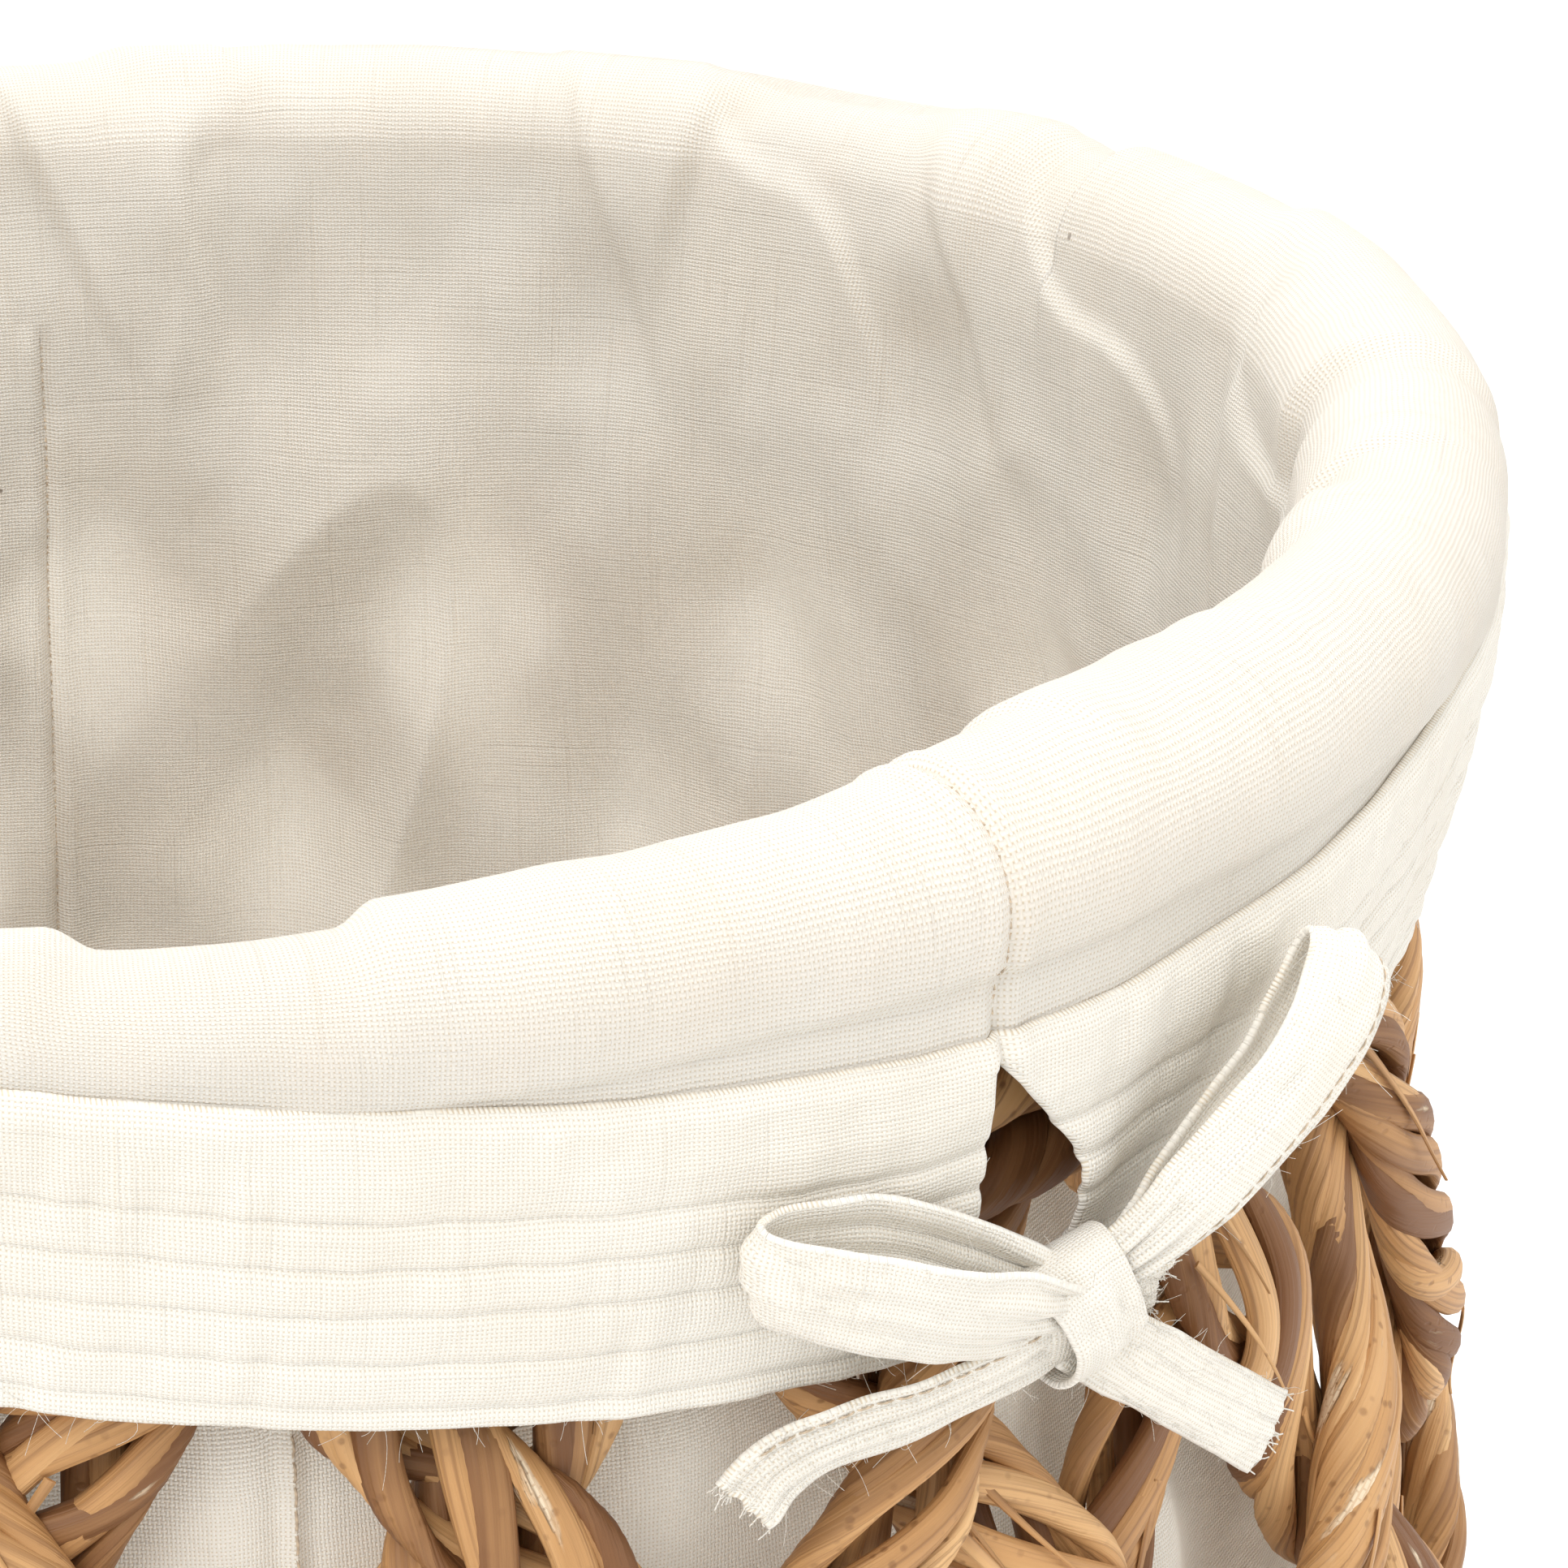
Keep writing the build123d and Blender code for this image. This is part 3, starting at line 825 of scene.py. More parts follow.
class Liner:
    """The liner's surfaces.  Each takes a distance round the oval and a run down or up the cloth."""

    def __init__(self):
        self.oval = Oval()
        self.perimeter = self.oval.perimeter
        liner = settings("liner")
        low, high = CUFF_BOX
        self.hem, self.crease = low.z, high.z
        over = liner.over_roll
        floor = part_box("liner_base")[1].z
        # Points are (offset from the rim's centre line, height), from the base up and over the roll.
        hanging = [(wall_offset(z) - liner.gap, z) for z in HANGS_AT]
        corner = [(-0.030, floor - 0.0004), (-0.0255, floor + 0.0012), (-0.0226, floor + 0.006)]
        shoulder = [(-0.0182, 0.462), (-0.0166, 0.480), (-0.0140, 0.496)]
        turned = np.radians(np.arange(170, -1, -10))
        roll = [(over * cos(a), self.oval.height + over * sin(a)) for a in turned]
        ending = [(over, self.crease), (over, self.crease - 0.012), (over, self.crease - 0.024)]
        profile = smooth_curve(corner + hanging + shoulder + roll + ending, 1600)
        self.profile_run = run_along(profile)
        self.profile = profile
        slope = unit(np.gradient(profile, axis=0))
        self.facing = np.stack([-slope[:, 1], slope[:, 0]], -1)
        crest = int(np.argmax(profile[:, 1]))
        self.outer_run, self.outer_height = self.profile_run[crest:], profile[crest:, 1]
        self.crest = float(self.profile_run[crest])
        self.band = float(np.interp(BAND_BEGINS, profile[:crest, 1], self.profile_run[:crest]))
        self.length = float(self.down_to(self.crease))
        self.seam = self.seam_distance(liner.seam_x)

    def seam_distance(self, x):
        """How far round the wall's back seam stands."""
        distance = np.linspace(self.perimeter / 4, self.perimeter / 2, 800)
        points, _ = self.oval.at(distance, -SEAM_DEPTH, 0)
        return float(distance[np.argmin(np.abs(points[:, 0] - x))])

    def down_to(self, height):
        """The run at which the band has come down outside to a height."""
        return np.interp(-height, -self.outer_height, self.outer_run)

    def lean(self, distance):
        """How far the crease and the hem stand above their mean height.  The bows draw the cuff down."""
        half = self.perimeter / 2
        place = (distance + half / 2) % half - half / 2
        stops, rises = np.array(CUFF_LEAN).T
        stops = np.concatenate([stops - half, stops, stops + half])
        return np.interp(place, stops, np.tile(rises, 3))

    def puff(self, distance):
        """How full the cloth stands over the roll."""
        half = self.perimeter / 2
        place = (distance + half / 2) % half - half / 2
        full = 0.0042 * bump(place, 0.050, 0.075) + 0.0030 * bump(place, 0.27, 0.13)
        return full + self.ripple(distance, 0, deep=0.0012, count=15, length=1, seed=12, begin=3.5)

    def ripple(self, distance, run, deep, count, length, seed, slant=0.0, begin=0.0):
        """Soft waves, count of them round the oval.  They change over that length down the cloth."""
        around = distance / self.perimeter * count
        return deep * noise(around + run * slant, run / length + begin, seed, count)

    def folds(self, distance, run):
        """How far the bag stands off its plain shape, towards its visible side."""
        down = self.crest - run
        below = ease(down / 0.06)
        hanging = below * ease(run / 0.05)
        cloth = distance, run
        billow = self.ripple(*cloth, deep=0.0080, count=11, length=0.21, seed=1, begin=3)
        drape = self.ripple(*cloth, deep=0.0066, count=24, length=0.16, seed=2, slant=4.0)
        ridge = np.abs(self.ripple(*cloth, deep=1.0, count=38, length=0.10, seed=3, slant=9.0))
        crisp = 0.0034 * (1 - 2 * ridge)
        total = hanging * (billow + drape + crisp * ease(down / 0.02))
        total = hanging * held_above(total, 0.0009, 0.0013)
        total = total - hanging * self.hollows(distance, run)
        pucker = self.ripple(*cloth, deep=0.0022, count=27, length=0.055, seed=4)
        pucker = pucker * bump(down, 0.030, 0.035)
        bunched = self.ripple(*cloth, deep=1.0, count=31, length=0.05, seed=15, slant=7.0)
        tuck = 0.0030 * ease((bunched + 0.12) / 0.30) * bump(down, 0.012, 0.030)
        rucked = self.ripple(*cloth, deep=1.0, count=46, length=0.04, seed=28, slant=-16.0)
        tuck = tuck + 0.0022 * ease((rucked - 0.10) / 0.22) * bump(down, 0.022, 0.024)
        crest = self.ripple(*cloth, deep=0.00060, count=60, length=0.02, seed=5)
        crinkle = self.ripple(*cloth, deep=0.00040, count=130, length=0.011, seed=6) * (0.4 + 0.6 * below)
        loose = pucker + tuck + crest + crinkle
        loose = held_above(loose, -0.0008, 0.0004) * (1 - hanging) + loose * hanging
        total = total + loose + bump(down, 0.002, 0.022) * self.puff(distance)
        tucked_in = 0.0017 * ease((run - self.length + 0.0024) / 0.0022)
        total = total - tucked_in
        for seam in (self.seam, self.seam + self.perimeter / 2):
            near = (distance - seam + self.perimeter / 2) % self.perimeter - self.perimeter / 2
            total = total + ease((self.band - run) / 0.004) * self.seam_relief(near, run)
        for seam in (0, self.perimeter / 2, self.perimeter):
            total = total + ease((run - self.band) / 0.004) * self.seam_relief(distance - seam, run)
        return total

    def hollows(self, distance, run):
        """How far the bag gives way outwards in the openings of the lattice."""
        form = settings("basket_form")
        height = np.interp(run, self.profile_run, self.profile[:, 1])
        rows_down = (form.top_row - height) / form.row_pitch
        columns = distance / self.perimeter * BUNDLES
        between = (np.sin(pi * (columns + way * rows_down / 2)) ** 2 for way in (1, -1))
        return 0.0042 * np.prod(list(between), 0) ** 1.5

    def seam_relief(self, near, run):
        """A valley along a sewn seam, with small gathers beside it."""
        gathers = 0.00045 * noise(run / 0.0075, np.sign(near) * 2 + 5, 7) * bump(near, 0, 0.006)
        return gathers - 0.0011 * bump(near, 0, 0.0010) + 0.0006 * bump(np.abs(near), 0.0026, 0.0016)

    def section(self, distance, run):
        """The offset and the height of the bag, and of the band over the roll, which ends at the crease."""
        end = self.down_to(self.crease + self.lean(distance))
        outside = self.crest + (run - self.crest) * (end - self.crest) / (self.length - self.crest)
        run = np.where(run > self.crest, outside, run)
        stand = self.folds(distance, run)
        offset, height, out, up = (
            np.interp(run, self.profile_run, column)
            for column in (*self.profile.T, *self.facing.T)
        )
        return offset + out * stand, height + up * stand

    def bag(self, distance, run):
        """Points of the bag and the band."""
        return self.oval.at(distance, *self.section(distance, run))[0]

    def slit_edges(self, drop):
        """How far the two edges of a slit stand from the middle of the front, drop below the crease."""
        opened = ease((drop - 0.003) / 0.0015)
        left = -0.0018 * opened
        right = 0.0165 * np.clip((drop - 0.003) / 0.0195, 0, 1)
        return left, right - 0.0015 * bump(drop, 0.0235, 0.003)

    def cuff(self, distance, drop):
        """Points of the cuff, drop below the crease."""
        lean = self.lean(distance)
        over = settings("liner").over_roll
        above = np.clip(self.crease + lean - self.oval.height, 0, over)
        top = np.sqrt(over**2 - above**2) - 0.0012
        sewn_to = self.section(distance, np.full_like(distance + drop, self.length))[0]
        top = top + (sewn_to + 0.0009 - top) * bump(drop, 0, 0.010)
        hang = top + np.interp(drop, *np.array(CUFF_HANG).T)
        swing = self.ripple(distance, 0, deep=0.0030, count=13, length=1, seed=21, begin=0.5)
        swing = swing + self.ripple(distance, 0, deep=0.0014, count=31, length=1, seed=22, begin=4.5)
        soft = self.ripple(distance, drop, deep=0.0007, count=52, length=0.018, seed=23)
        crinkle = self.ripple(distance, drop, deep=0.00032, count=190, length=0.0065, seed=24)
        pull = self.ripple(distance, drop, deep=0.00040, count=340, length=0.012, seed=25, slant=60)
        rows = sum(bump(drop, self.row_drop(distance, row), 0.0011) for row in range(len(ROW_DROPS)))
        offset = hang + ease(drop / 0.040) * swing + soft * ease(drop / 0.008)
        offset = offset + (crinkle + pull) * ease(drop / 0.004) - 0.00085 * rows
        flare = 0.0
        for middle in (0, self.perimeter / 2, self.perimeter):
            flare = flare + 0.0022 * bump(distance, middle + 0.0165, 0.006) * bump(drop, 0.022, 0.008)
        stretched = self.ripple(distance, 0, deep=0.030, count=9, length=1, seed=26, begin=2.5)
        height = self.crease + lean + 0.0012 - drop * (1 + stretched)
        return self.oval.at(distance, offset + flare, height)[0]

    def row_drop(self, distance, row):
        """How far below the crease a row of stitching runs, which wanders a little."""
        drop, wander = ROW_DROPS[row]
        return drop + self.ripple(distance, 0, deep=wander, count=7, length=1, seed=27, begin=row * 3.3)


def facing(surface, first, second, step=0.0004):
    """The outward direction of a surface at its coordinates."""
    along = surface(first + step, second) - surface(first - step, second)
    down = surface(first, second + step) - surface(first, second - step)
    return unit(np.cross(down, along))


def sew(shape, points, normals, stitch, thread, lift, slant=0.0, share=0.8):
    """Stitches of that length along a line of points, each arched over the cloth."""
    run = run_along(points)
    starts = np.arange(0.3 * stitch, run[-1] - stitch, stitch)
    t = np.linspace(0, 1, 6)
    places = starts[:, None] + stitch * (0.5 + share * (t - 0.5))
    paths = np.stack([np.interp(places, run, column) for column in points.T], -1)
    normal = np.stack([np.interp(places, run, column) for column in normals.T], -1)
    across = np.cross(unit(np.gradient(paths, axis=1)), normal)
    paths = paths + normal * (lift * np.sin(pi * t) - 0.0001)[:, None]
    paths = paths + across * (slant * (t - 0.5))[:, None]
    tones = np.random.default_rng(len(starts)).uniform(0, 1, len(starts))
    shape.strands(paths, across, thread, thread * 0.8, tones, sides=6, boxy=1.0)


def fuzz(shape, roots, normals, rng, longest, count):
    """Loose fibres that stand off the cloth from some of the root points."""
    chosen = rng.integers(0, len(roots), count)
    reach = longest * rng.uniform(0.25, 1, count) ** 2
    lean = rng.normal(0, 0.9, (count, 3))
    curl = rng.normal(0, 0.8, (count, 3))
    t = np.linspace(0, 1, 6)[None, :, None]
    heading = unit(normals[chosen] + lean)[:, None]
    paths = roots[chosen][:, None] + (heading * t + curl[:, None] * t**2 * 0.5) * reach[:, None, None]
    across = np.broadcast_to(unit(np.cross(heading, curl[:, None])), paths.shape)
    shape.strands(paths, across, 0.00007, 0.00007, rng.uniform(0, 1, count), sides=3, boxy=1.0)


class BASKET_OT_bag(bpy.types.Operator):
    """The bag that hangs in the basket, its base, and the band over the roll"""

    bl_idname = "basket.bag"
    bl_label = "Liner bag"

    def execute(self, context):
        liner = Liner()
        finish = calico("Liner calico", glow=0.26)
        thread = thread_finish()
        half = liner.perimeter / 2
        columns = 560
        panels = {
            "liner_wall_right": (liner.seam - half, liner.seam, 0, liner.band, 280),
            "liner_wall_left": (liner.seam, liner.seam + half, 0, liner.band, 280),
            "liner_rim_band_right": (0, half, liner.band, liner.length, 60),
            "liner_rim_band_left": (half, 2 * half, liner.band, liner.length, 60),
        }
        for node, (start, end, low, high, rows) in panels.items():
            distance, run = np.meshgrid(np.linspace(start, end, columns), np.linspace(low, high, rows))
            cloth = Shape()
            cloth.grids(liner.bag(distance, run)[None], np.stack([distance, run], -1)[None])
            stitching = self.seam_stitches(liner, start, low, high)
            piece = cloth.build(f"{node}_cloth", finish, "liner", "calico")
            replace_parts(piece, node)
            sewn = stitching.build(f"{node}_stitches", thread, "liner", "calico")
            high - low
        self.base_cloth(liner, finish)
        return {"FINISHED"}

    def seam_stitches(self, liner, distance, low, high):
        """The seam at a panel's first edge."""
        sizes = settings("liner")
        shape = Shape()
        run = np.linspace(low + 0.001, high - 0.001, 500)
        place = np.full_like(run, distance)
        normals = -facing(liner.bag, place, run)
        sew(shape, liner.bag(place, run), normals, sizes.stitch, 0.00042, 0.0003)
        return shape

    def base_cloth(self, liner, finish):
        """The oval of cloth on the base mat."""
        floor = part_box("liner_base")[1].z
        distance = np.linspace(0, liner.perimeter, 241)[:-1]
        edge, _ = liner.oval.at(distance, -MAT_EDGE, floor - 0.0004)
        share = np.linspace(0.002, 1, 90)[:, None, None]
        points = edge[None] * share
        rumpled = noise(points[..., 0] / 0.03 + 9, points[..., 1] / 0.03 + 9, 8)
        points[..., 2] = floor - 0.0004 + 0.0007 * rumpled
        points[..., 2] += 0.0012 * bump(share[..., 0], 0.55, 0.25) * noise(distance / 0.05, 2.0, 9)
        cloth = Shape()
        joined = np.concatenate([points, points[:, :1]], 1)
        cloth.grids(points[None], joined[None, ..., :2], closed=True)
        piece = cloth.build("liner_base_cloth", finish, "liner", "calico")
        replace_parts(piece, "liner_base")
        low, high = edge.min(0), edge.max(0)
        flat = (float(high[0] - low[0]), float(high[1] - low[1]))
        x, y = edge[:, 0], edge[:, 1]
        area = 0.5 * abs(float(np.sum(x * np.roll(y, -1) - y * np.roll(x, -1))))


class BASKET_OT_cuff(bpy.types.Operator):
    """The cuff that hangs outside the rim, slit at the front and the back"""

    bl_idname = "basket.cuff"
    bl_label = "Cuff"

    def execute(self, context):
        liner = Liner()
        sizes = settings("liner")
        finish = calico("Cuff calico", glow=0.12)
        thread = thread_finish()
        half = liner.perimeter / 2
        tall = liner.crease - liner.hem
        steps = 760
        drop = np.linspace(0, tall, 64)[None]
        for number, node in enumerate(("liner_cuff_right", "liner_cuff_left")):
            left, right = liner.slit_edges(drop)
            share = np.linspace(0, 1, steps)[:, None]
            start, end = number * half + right, (number + 1) * half + left
            distance = start + (end - start) * share
            drops = np.broadcast_to(drop, distance.shape)
            cloth = Shape()
            uvs = np.stack([distance, drops], -1)
            cloth.slab(liner.cuff(distance, drops), uvs, sizes.thickness)
            piece = cloth.build(f"{node}_cloth", finish, "liner", "calico")
            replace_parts(piece, node)
            stitches = Shape()
            self.rows(stitches, liner, start[0, -1], end[0, -1])
            self.slit_hems(stitches, liner, number * half, (number + 1) * half)
            sewn = stitches.build(f"{node}_stitches", thread, "liner", "calico")
            hairs = Shape()
            self.loose_fibres(hairs, liner, distance, number)
            loose = hairs.build(f"{node}_fibres", finish, "liner", "calico")
        return {"FINISHED"}

    def rows(self, shape, liner, start, end):
        """Rows of stitching along the cuff: the last one sews its hem."""
        sizes = settings("liner")
        distance = np.linspace(start + 0.012, end - 0.011, 2400)
        for row in range(len(ROW_DROPS)):
            drop = liner.row_drop(distance, row)
            normals = -facing(liner.cuff, distance, drop)
            points = liner.cuff(distance, drop) + normals * (sizes.thickness / 2)
            hem = row == len(ROW_DROPS) - 1
            stitch = sizes.stitch if hem else sizes.long_stitch
            sew(shape, points - normals * 0.00035, normals, stitch, 0.00042, 0.00028, share=0.92)
            if not hem:
                points = points - normals * 0.00025
                sew(shape, points, normals, stitch, 0.00048, 0.0003, slant=0.0014, share=0.17)

    def slit_hems(self, shape, liner, front, back):
        """The stitching beside the slit's edges."""
        sizes = settings("liner")
        drop = np.linspace(0.005, 0.0415, 300)
        left, right = liner.slit_edges(drop)
        for distance in (front + right + 0.0095, back + left - 0.0110):
            normals = -facing(liner.cuff, distance, drop)
            points = liner.cuff(distance, drop) + normals * (sizes.thickness / 2)
            sew(shape, points, normals, sizes.stitch, 0.00034, 0.00025)

    def loose_fibres(self, shape, liner, distance, seed):
        """Fuzz along the hem and the slit, and a little over the cuff."""
        rng = np.random.default_rng(61 + seed)
        edge = distance[:, -1]
        hem_drop = np.full_like(edge, liner.crease - liner.hem)
        hem = liner.cuff(edge, hem_drop)
        down = np.broadcast_to([0, 0, -1.0], hem.shape)
        fuzz(shape, hem, down, rng, 0.0055, 420)
        anywhere = rng.uniform(0.004, 0.044, 900)
        places = rng.uniform(edge[0] + 0.012, edge[-1] - 0.003, 900)
        normals = -facing(liner.cuff, places, anywhere)
        roots = liner.cuff(places, anywhere) + normals * (settings("liner").thickness / 2)
        fuzz(shape, roots, normals, rng, 0.0035, 500)


# --- Bows ----------------------------------------------------------------------------


class BowPlace:
    """A flat chart of the cuff round a knot: right and up along the cloth, and out from it, in metres."""

    def __init__(self, liner, turned):
        low, high = KNOT_BOX
        self.liner = liner
        self.start = (low.x + high.x) / 2 - KNOT_LEFT + turned * liner.perimeter / 2
        self.height = (low.z + high.z) / 2 + float(liner.lean(self.start)) - KNOT_DROP

    def points(self, chart):
        """Points in the row frame for chart points (right, up, out)."""
        right, up, out = np.moveaxis(np.asarray(chart, float), -1, 0)
        z = self.height + up
        drop = self.liner.crease + self.liner.lean(self.start + right) - z
        hang = np.interp(drop, *np.array(BOW_RESTS_ON).T)
        return self.liner.oval.at(self.start + right, hang + out, z)[0]


def tape(place, shape, seed, line, widths, tilts, ragged=0.0, cupped=0.0, sides=None):
    """A length of folded tape along a line of chart points.  widths are shares of the tape's own width, and
    tilts raise its upper edge off the cuff.  cupped bends it across, and a ragged end is torn by up to that
    much.  sides are the directions of the width in degrees, where it isn't square to the line."""
    rng = np.random.default_rng(seed)
    widths = [settings("liner").tape_width * share for share in widths]
    steps, across = 90, 15
    path = smooth_curve(line, steps)
    run = run_along(path)
    share = run / run[-1]
    width = np.interp(share, np.linspace(0, 1, len(widths)), widths)
    tilt = np.interp(share, np.linspace(0, 1, len(tilts)), tilts)
    ahead = unit(np.gradient(path, axis=0))
    flat = ahead.copy()
    flat[:, 2] = 0
    out = np.array([0, 0, 1.0])
    side = unit(np.cross(out, flat))
    if side[len(side) // 3, 1] < 0:
        side = -side
    if sides:
        slant = np.radians(np.interp(share, np.linspace(0, 1, len(sides)), sides))
        side = np.stack([np.cos(slant), np.sin(slant), np.zeros_like(slant)], -1)
    turned = side * np.cos(tilt)[:, None] + out * np.sin(tilt)[:, None]
    lift = unit(np.cross(ahead, turned))
    lift = lift * np.sign(lift[len(lift) // 4, 2])
    t = np.linspace(-0.5, 0.5, across)
    chart = path[:, None] + turned[:, None] * (t[None, :] * width[:, None])[..., None]
    gathered = np.clip(1 - width / max(widths), 0, 1)
    pleats = 0.0009 * np.cos(t[None, :] * 21 + seed) * (0.15 + 2.2 * gathered[:, None])
    crinkle = 0.00045 * noise(run[:, None] / 0.006, t[None, :] * 4 + seed, seed + 60)
    soft = 0.0008 * noise(run[:, None] / 0.017, t[None, :] * 2 + seed, seed + 61)
    bowed = cupped * (1 - (2 * t[None, :]) ** 2)
    chart = chart + lift[:, None] * (pleats + crinkle + soft + bowed)[..., None]
    wobble = 0.0004 * noise(run / 0.009, 1.0, seed + 62)
    chart[:, [0, -1]] += (turned * wobble[:, None])[:, None]
    if ragged:
        torn = ragged * rng.uniform(0, 1, across)
        last = slice(steps - 12, steps)
        fade = np.linspace(0, 1, 12)[:, None]
        chart[last] -= (ahead[-1] * (fade * torn[None])[..., None])
    points = place.points(chart)
    uvs = np.stack(np.broadcast_arrays(run[:, None], (t[None, :] + 0.5) * max(widths)), -1) + seed
    shape.slab(points, uvs, TAPE_THICKNESS)
    return points


def edge_stitching(shape, points, column, first=8, last=-14):
    """A line of stitches near one edge of a tape."""
    line = points[first:last, column]
    normals = unit(np.cross(np.gradient(points, axis=1), np.gradient(points, axis=0)))[first:last, column]
    outward = line * [1, 1, 0]
    normals = normals * np.sign((normals * outward).sum(-1, keepdims=True))
    sew(shape, line + normals * 0.0006, normals, settings("liner").stitch * 0.8, 0.00032, 0.00022)


class BASKET_OT_bows(bpy.types.Operator):
    """The two bows, each a knot with a loop and a tail on either side"""

    bl_idname = "basket.bows"
    bl_label = "Bows"

    def execute(self, context):
        liner = Liner()
        finish = calico("Tape calico", glow=0.10)
        thread = thread_finish()
        for turned, side in enumerate(("front", "back")):
            place = BowPlace(liner, turned)
            self.left_tape(place, f"{side}_bow_left_tape", finish, thread)
            self.right_tape(place, f"{side}_bow_right_tape", finish, thread)
            self.knot(place, f"{side}_bow_knot", finish)
        return {"FINISHED"}

    def make(self, parts, place, node, finish, thread, flat_length, seed):
        """Builds one tape from its parts, with its stitching and loose threads.  A part is sewn along one
        of its columns of points."""
        cloth, stitches, hairs = Shape(), Shape(), Shape()
        rng = np.random.default_rng(seed)
        for number, part in enumerate(parts):
            sewn_column = part.pop("sewn", None)
            points = tape(place, cloth, seed + number, **part)
            if sewn_column is not None:
                edge_stitching(stitches, points, sewn_column)
            outward = unit(points * [1, 1, 0]).reshape(-1, 3)
            fuzz(hairs, points.reshape(-1, 3) + outward * 0.0005, outward, rng, 0.0030, 130)
            edges = points[:, [0, -1]].reshape(-1, 3)
            fuzz(hairs, edges, np.repeat(unit(points[:, 0] * [1, 1, 0]), 2, 0), rng, 0.0045, 110)
            if part.get("ragged"):
                self.frayed_threads(hairs, points[-1], unit(points[-1] - points[-8]), rng)
        piece = cloth.build(f"{node}_cloth", finish, "liner", "calico_tape")
        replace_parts(piece, node)
        sewn = stitches.build(f"{node}_stitches", thread, "liner", "calico_tape")
        loose = hairs.build(f"{node}_fibres", finish, "liner", "calico_tape")
        flat = (settings("liner").tape_width, flat_length)

    def frayed_threads(self, hairs, end, ahead, rng):
        """Threads that have come loose at a cut end."""
        count = 26
        chosen = rng.integers(0, len(end), count)
        t = np.linspace(0, 1, 7)[None, :, None]
        reach = rng.uniform(0.0006, 0.0028, count)[:, None, None]
        heading = unit(ahead[chosen] + rng.normal(0, 0.28, (count, 3)))[:, None]
        curl = rng.normal(0, 0.5, (count, 1, 3))
        paths = end[chosen][:, None] + (heading * t + curl * t**2 * 0.4) * reach
        across = unit(np.cross(heading, curl))
        hairs.strands(paths, across, 0.00022, 0.00018, rng.uniform(0, 1, count), sides=5, boxy=1.0)

    def left_tape(self, place, node, finish, thread):
        """The loop and the tail on the left of the knot."""
        loop = {
            "line": [
                (-0.002, 0.0008, 0.0050), (-0.011, 0.0040, 0.0078), (-0.023, 0.0090, 0.0094),
                (-0.035, 0.0150, 0.0090), (-0.0450, 0.0196, 0.0070), (-0.0488, 0.0214, 0.0046),
                (-0.0476, 0.0222, 0.0020), (-0.0400, 0.0218, 0.0008), (-0.027, 0.0178, 0.0010),
                (-0.012, 0.0086, 0.0026), (-0.002, 0.0024, 0.0040),
            ],
            "widths": (0.55, 0.95, 1, 1, 0.95, 0.9, 0.8, 0.5),
            "tilts": (0.3, 0.28, 0.15, 0.0, 0.0, -0.1, 0.0, 0.1),
            "sides": (66, 68, 78, 92, 94, 84, 72, 66),
            "cupped": 0.0010,
        }
        tail = {
            "line": [
                (-0.001, -0.0020, 0.0046), (-0.010, -0.0038, 0.0056), (-0.022, -0.0062, 0.0044),
                (-0.035, -0.0080, 0.0022), (-0.042, -0.0106, 0.0012), (-0.0465, -0.0146, 0.0016),
            ],
            "widths": (0.78, 0.72, 0.68, 0.68),
            "tilts": (0.25, 0.15, 0.05, -0.1),
            "ragged": 0.0008,
            "cupped": 0.0006,
            "sewn": 13,
        }
        loop_length, tail_length = 0.062, 0.059
        flat_length = loop_length * 2 + tail_length
        self.make((loop, tail), place, node, finish, thread, flat_length, seed=71)

    def right_tape(self, place, node, finish, thread):
        """The loop and the tail on the right of the knot, and the stub of tape that shows beside them."""
        loop = {
            "line": [
                (0.002, 0.0034, 0.0054), (0.010, 0.0104, 0.0088), (0.0195, 0.0198, 0.0110),
                (0.0295, 0.0288, 0.0112), (0.0370, 0.0350, 0.0094), (0.0400, 0.0372, 0.0070),
                (0.0402, 0.0352, 0.0046), (0.0362, 0.0286, 0.0030), (0.0270, 0.0185, 0.0024),
                (0.014, 0.0080, 0.0028), (0.002, 0.0010, 0.0038),
            ],
            "widths": (0.6, 1, 1.04, 1, 0.95, 0.95, 0.9, 0.6),
            "tilts": (0.0, -0.30, -0.40, -0.36, -0.3, -0.25, -0.1, 0.0),
            "sides": (134, 136, 138, 140, 140, 134, 130, 126),
            "cupped": 0.0012,
            "sewn": 2,
        }
        tail = {
            "line": [
                (0.002, -0.0040, 0.0052), (0.010, -0.0112, 0.0060), (0.018, -0.0182, 0.0062),
                (0.028, -0.0262, 0.0066), (0.0375, -0.0338, 0.0070),
            ],
            "widths": (0.76, 0.74, 0.78),
            "tilts": (0.1, 0.05, 0.0),
            "ragged": 0.0007,
            "cupped": 0.0003,
        }
        stub = {
            "line": [(0.003, -0.0020, 0.0036), (0.010, -0.0030, 0.0040), (0.0165, -0.0036, 0.0036)],
            "widths": (0.4, 0.5, 0.5),
            "tilts": (0.2, 0.1, 0.1),
            "ragged": 0.0006,
        }
        loop_length, tail_length, stub_length = 0.054, 0.042, 0.012
        flat_length = loop_length * 2 + tail_length + stub_length
        self.make((loop, tail, stub), place, node, finish, thread, flat_length, seed=81)

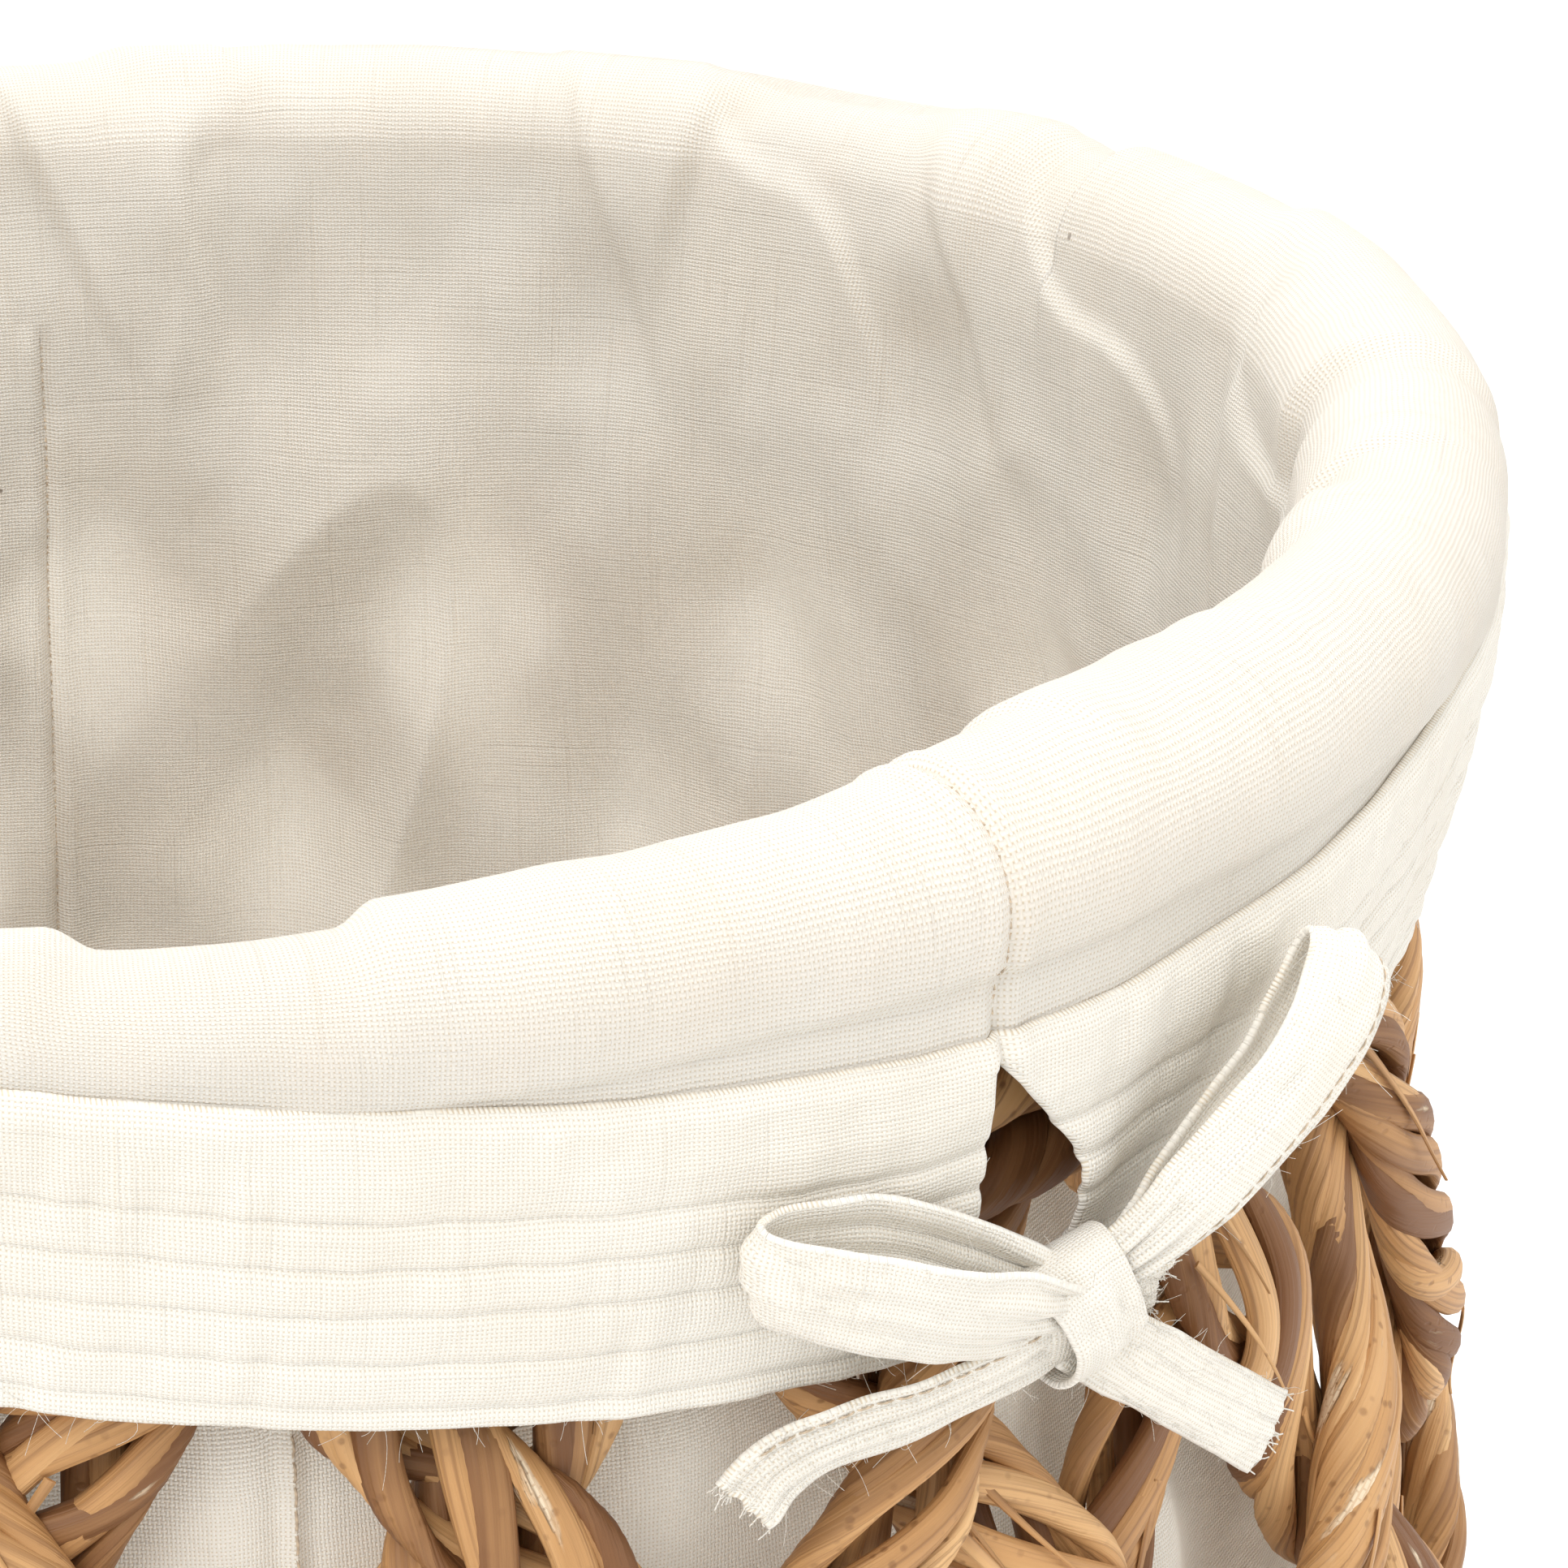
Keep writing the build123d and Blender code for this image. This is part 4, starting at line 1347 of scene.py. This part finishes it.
    def knot(self, place, node, finish):
        """A band of tape drawn round the others, from the upper left to the lower right."""
        cloth = Shape()
        lean = radians(-70)
        along = np.array([cos(lean), sin(lean), 0])
        side = np.array([-sin(lean), cos(lean), 0])
        out = np.array([0, 0, 1.0])
        turned = np.linspace(radians(-35), radians(215), 70)[:, None]
        t = np.linspace(-0.5, 0.5, 17)[None, :]
        waist = 1 - 0.25 * np.sin(turned).clip(0, 1)
        bulge = 1 + 0.10 * (1 - (2 * t) ** 2)
        folds = 0.00028 * np.cos(t * 13 + 0.8 * np.cos(turned))
        folds = folds + 0.0004 * noise(turned * 3 + 5, t * 5 + 9, 91)
        reach_along = 0.0098 * bulge
        reach_out = 0.0056 * bulge + folds
        chart = (
            along * (np.cos(turned) * reach_along)[..., None]
            + out * (0.0042 + np.sin(turned) * reach_out)[..., None]
            + side * (t * 0.0138 * waist + 0.0011 * np.cos(turned))[..., None]
        )
        points = place.points(chart)
        uvs = np.stack(np.broadcast_arrays(turned * 0.0085, t * 0.014), -1)
        cloth.slab(points, uvs, KNOT_THICKNESS)
        core_angles = np.linspace(0, 2 * pi, 25)[:-1][None, :]
        core_run = np.linspace(-1, 1, 22)[:, None]
        girth = np.sqrt(np.clip(1 - core_run**2, 0, 1)) * (1 + 0.12 * np.cos(3 * core_angles))
        core = (
            side * (core_run * 0.0088)[..., None]
            + along * (np.cos(core_angles) * girth * 0.0072)[..., None]
            + out * (0.0040 + np.sin(core_angles) * girth * 0.0044)[..., None]
        )
        core_uvs = np.stack(np.broadcast_arrays(core_run * 0.009, np.linspace(0, 0.03, 25)[None]), -1)
        cloth.grids(place.points(core)[None], core_uvs[None], closed=True)
        piece = cloth.build(f"{node}_cloth", finish, "liner", "calico_tape")
        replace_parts(piece, node)


# --- Studio --------------------------------------------------------------------------


class BASKET_OT_studio(bpy.types.Operator):
    """The floor, the soft lights and the camera"""

    bl_idname = "basket.studio"
    bl_label = "Studio"

    def execute(self, context):
        scene = context.scene
        self.floor()
        self.lights(scene)
        self.camera(scene)
        scene.view_settings.view_transform = "Standard"
        return {"FINISHED"}

    def floor(self):
        """A flat square floor of small squares."""
        steps = FLOOR_POINTS
        line = np.linspace(-FLOOR_REACH, FLOOR_REACH, steps)
        x, y = np.meshgrid(line, line)
        mesh = bpy.data.meshes.new("floor")
        points = np.stack([x, y, np.zeros_like(x)], -1).reshape(-1, 3)
        corners = [
            (i * steps + j, i * steps + j + 1, (i + 1) * steps + j + 1, (i + 1) * steps + j)
            for i in range(steps - 1)
            for j in range(steps - 1)
        ]
        mesh.from_pydata(points.tolist(), [], corners)
        mesh.materials.append(floor_finish())
        floor = bpy.data.objects.new("floor", mesh)
        bpy.context.scene.collection.objects.link(floor)

    def lights(self, scene):
        """A pale surround and five large soft lamps."""
        world = bpy.data.worlds.new("Studio surround")
        world.use_nodes = True
        surround = world.node_tree.nodes["Background"]
        surround.inputs["Color"].default_value = (*settings("colours").floor, 1)
        surround.inputs["Strength"].default_value = SURROUND_STRENGTH
        scene.world = world
        for name, (spot, width, power) in SOFTBOXES.items():
            lamp = bpy.data.lights.new(f"{name}_softbox", "AREA")
            lamp.size, lamp.energy = width, power
            box = bpy.data.objects.new(f"{name}_softbox", lamp)
            box.location = spot
            box.rotation_euler = (LAMPS_AIM_AT - Vector(spot)).to_track_quat("-Z", "Y").to_euler()
            scene.collection.objects.link(box)

    def camera(self, scene):
        """A long lens that looks down on the rim from the front left."""
        view = settings("studio")
        rim_middle = Vector((0, 0, (RIM_HOOP[0].z + RIM_HOOP[1].z) / 2))
        turn, rise = view.azimuth, view.elevation
        right = Vector((cos(turn), sin(turn), 0))
        forward = Vector((-sin(turn) * cos(rise), cos(turn) * cos(rise), -sin(rise)))
        up = right.cross(forward)
        lens = bpy.data.cameras.new("camera")
        lens.lens, lens.sensor_width = view.lens, SENSOR_WIDTH
        camera = bpy.data.objects.new("camera", lens)
        place = rim_middle + right * view.aim_right - up * view.aim_down - forward * view.away
        facing_rim = Matrix((right, up, -forward)).transposed().to_4x4()
        camera.matrix_world = Matrix.Translation(place) @ facing_rim
        scene.collection.objects.link(camera)
        scene.camera = camera


# --- The add-on ----------------------------------------------------------------------


GROUPS = {
    "basket_form": BasketForm,
    "stems": StemSettings,
    "liner": LinerSettings,
    "colours": Colours,
    "studio": StageSettings,
}
OPERATORS = (
    BASKET_OT_lattice,
    BASKET_OT_rim,
    BASKET_OT_base,
    BASKET_OT_hoops,
    BASKET_OT_bag,
    BASKET_OT_cuff,
    BASKET_OT_bows,
    BASKET_OT_studio,
)


class BASKET_PT_panel(bpy.types.Panel):
    """The basket's pieces and settings"""

    bl_label = "Laundry basket"
    bl_space_type = "VIEW_3D"
    bl_region_type = "UI"
    bl_category = "Basket"

    def draw(self, context):
        for operator in OPERATORS:
            self.layout.operator(operator.bl_idname)
        for group, kind in GROUPS.items():
            box = self.layout.box()
            for name in kind.__annotations__:
                box.prop(getattr(context.scene, group), name)


def register():
    for kind in (*GROUPS.values(), *OPERATORS, BASKET_PT_panel):
        bpy.utils.register_class(kind)
    for name, kind in GROUPS.items():
        setattr(bpy.types.Scene, name, PointerProperty(type=kind))


def unregister():
    for name in GROUPS:
        delattr(bpy.types.Scene, name)
    for kind in (BASKET_PT_panel, *OPERATORS, *GROUPS.values()):
        bpy.utils.unregister_class(kind)


def main():
    register()
    for operator in OPERATORS:
        family, name = operator.bl_idname.split(".")
        getattr(getattr(bpy.ops, family), name)()


if __name__ == "__main__":
    main()
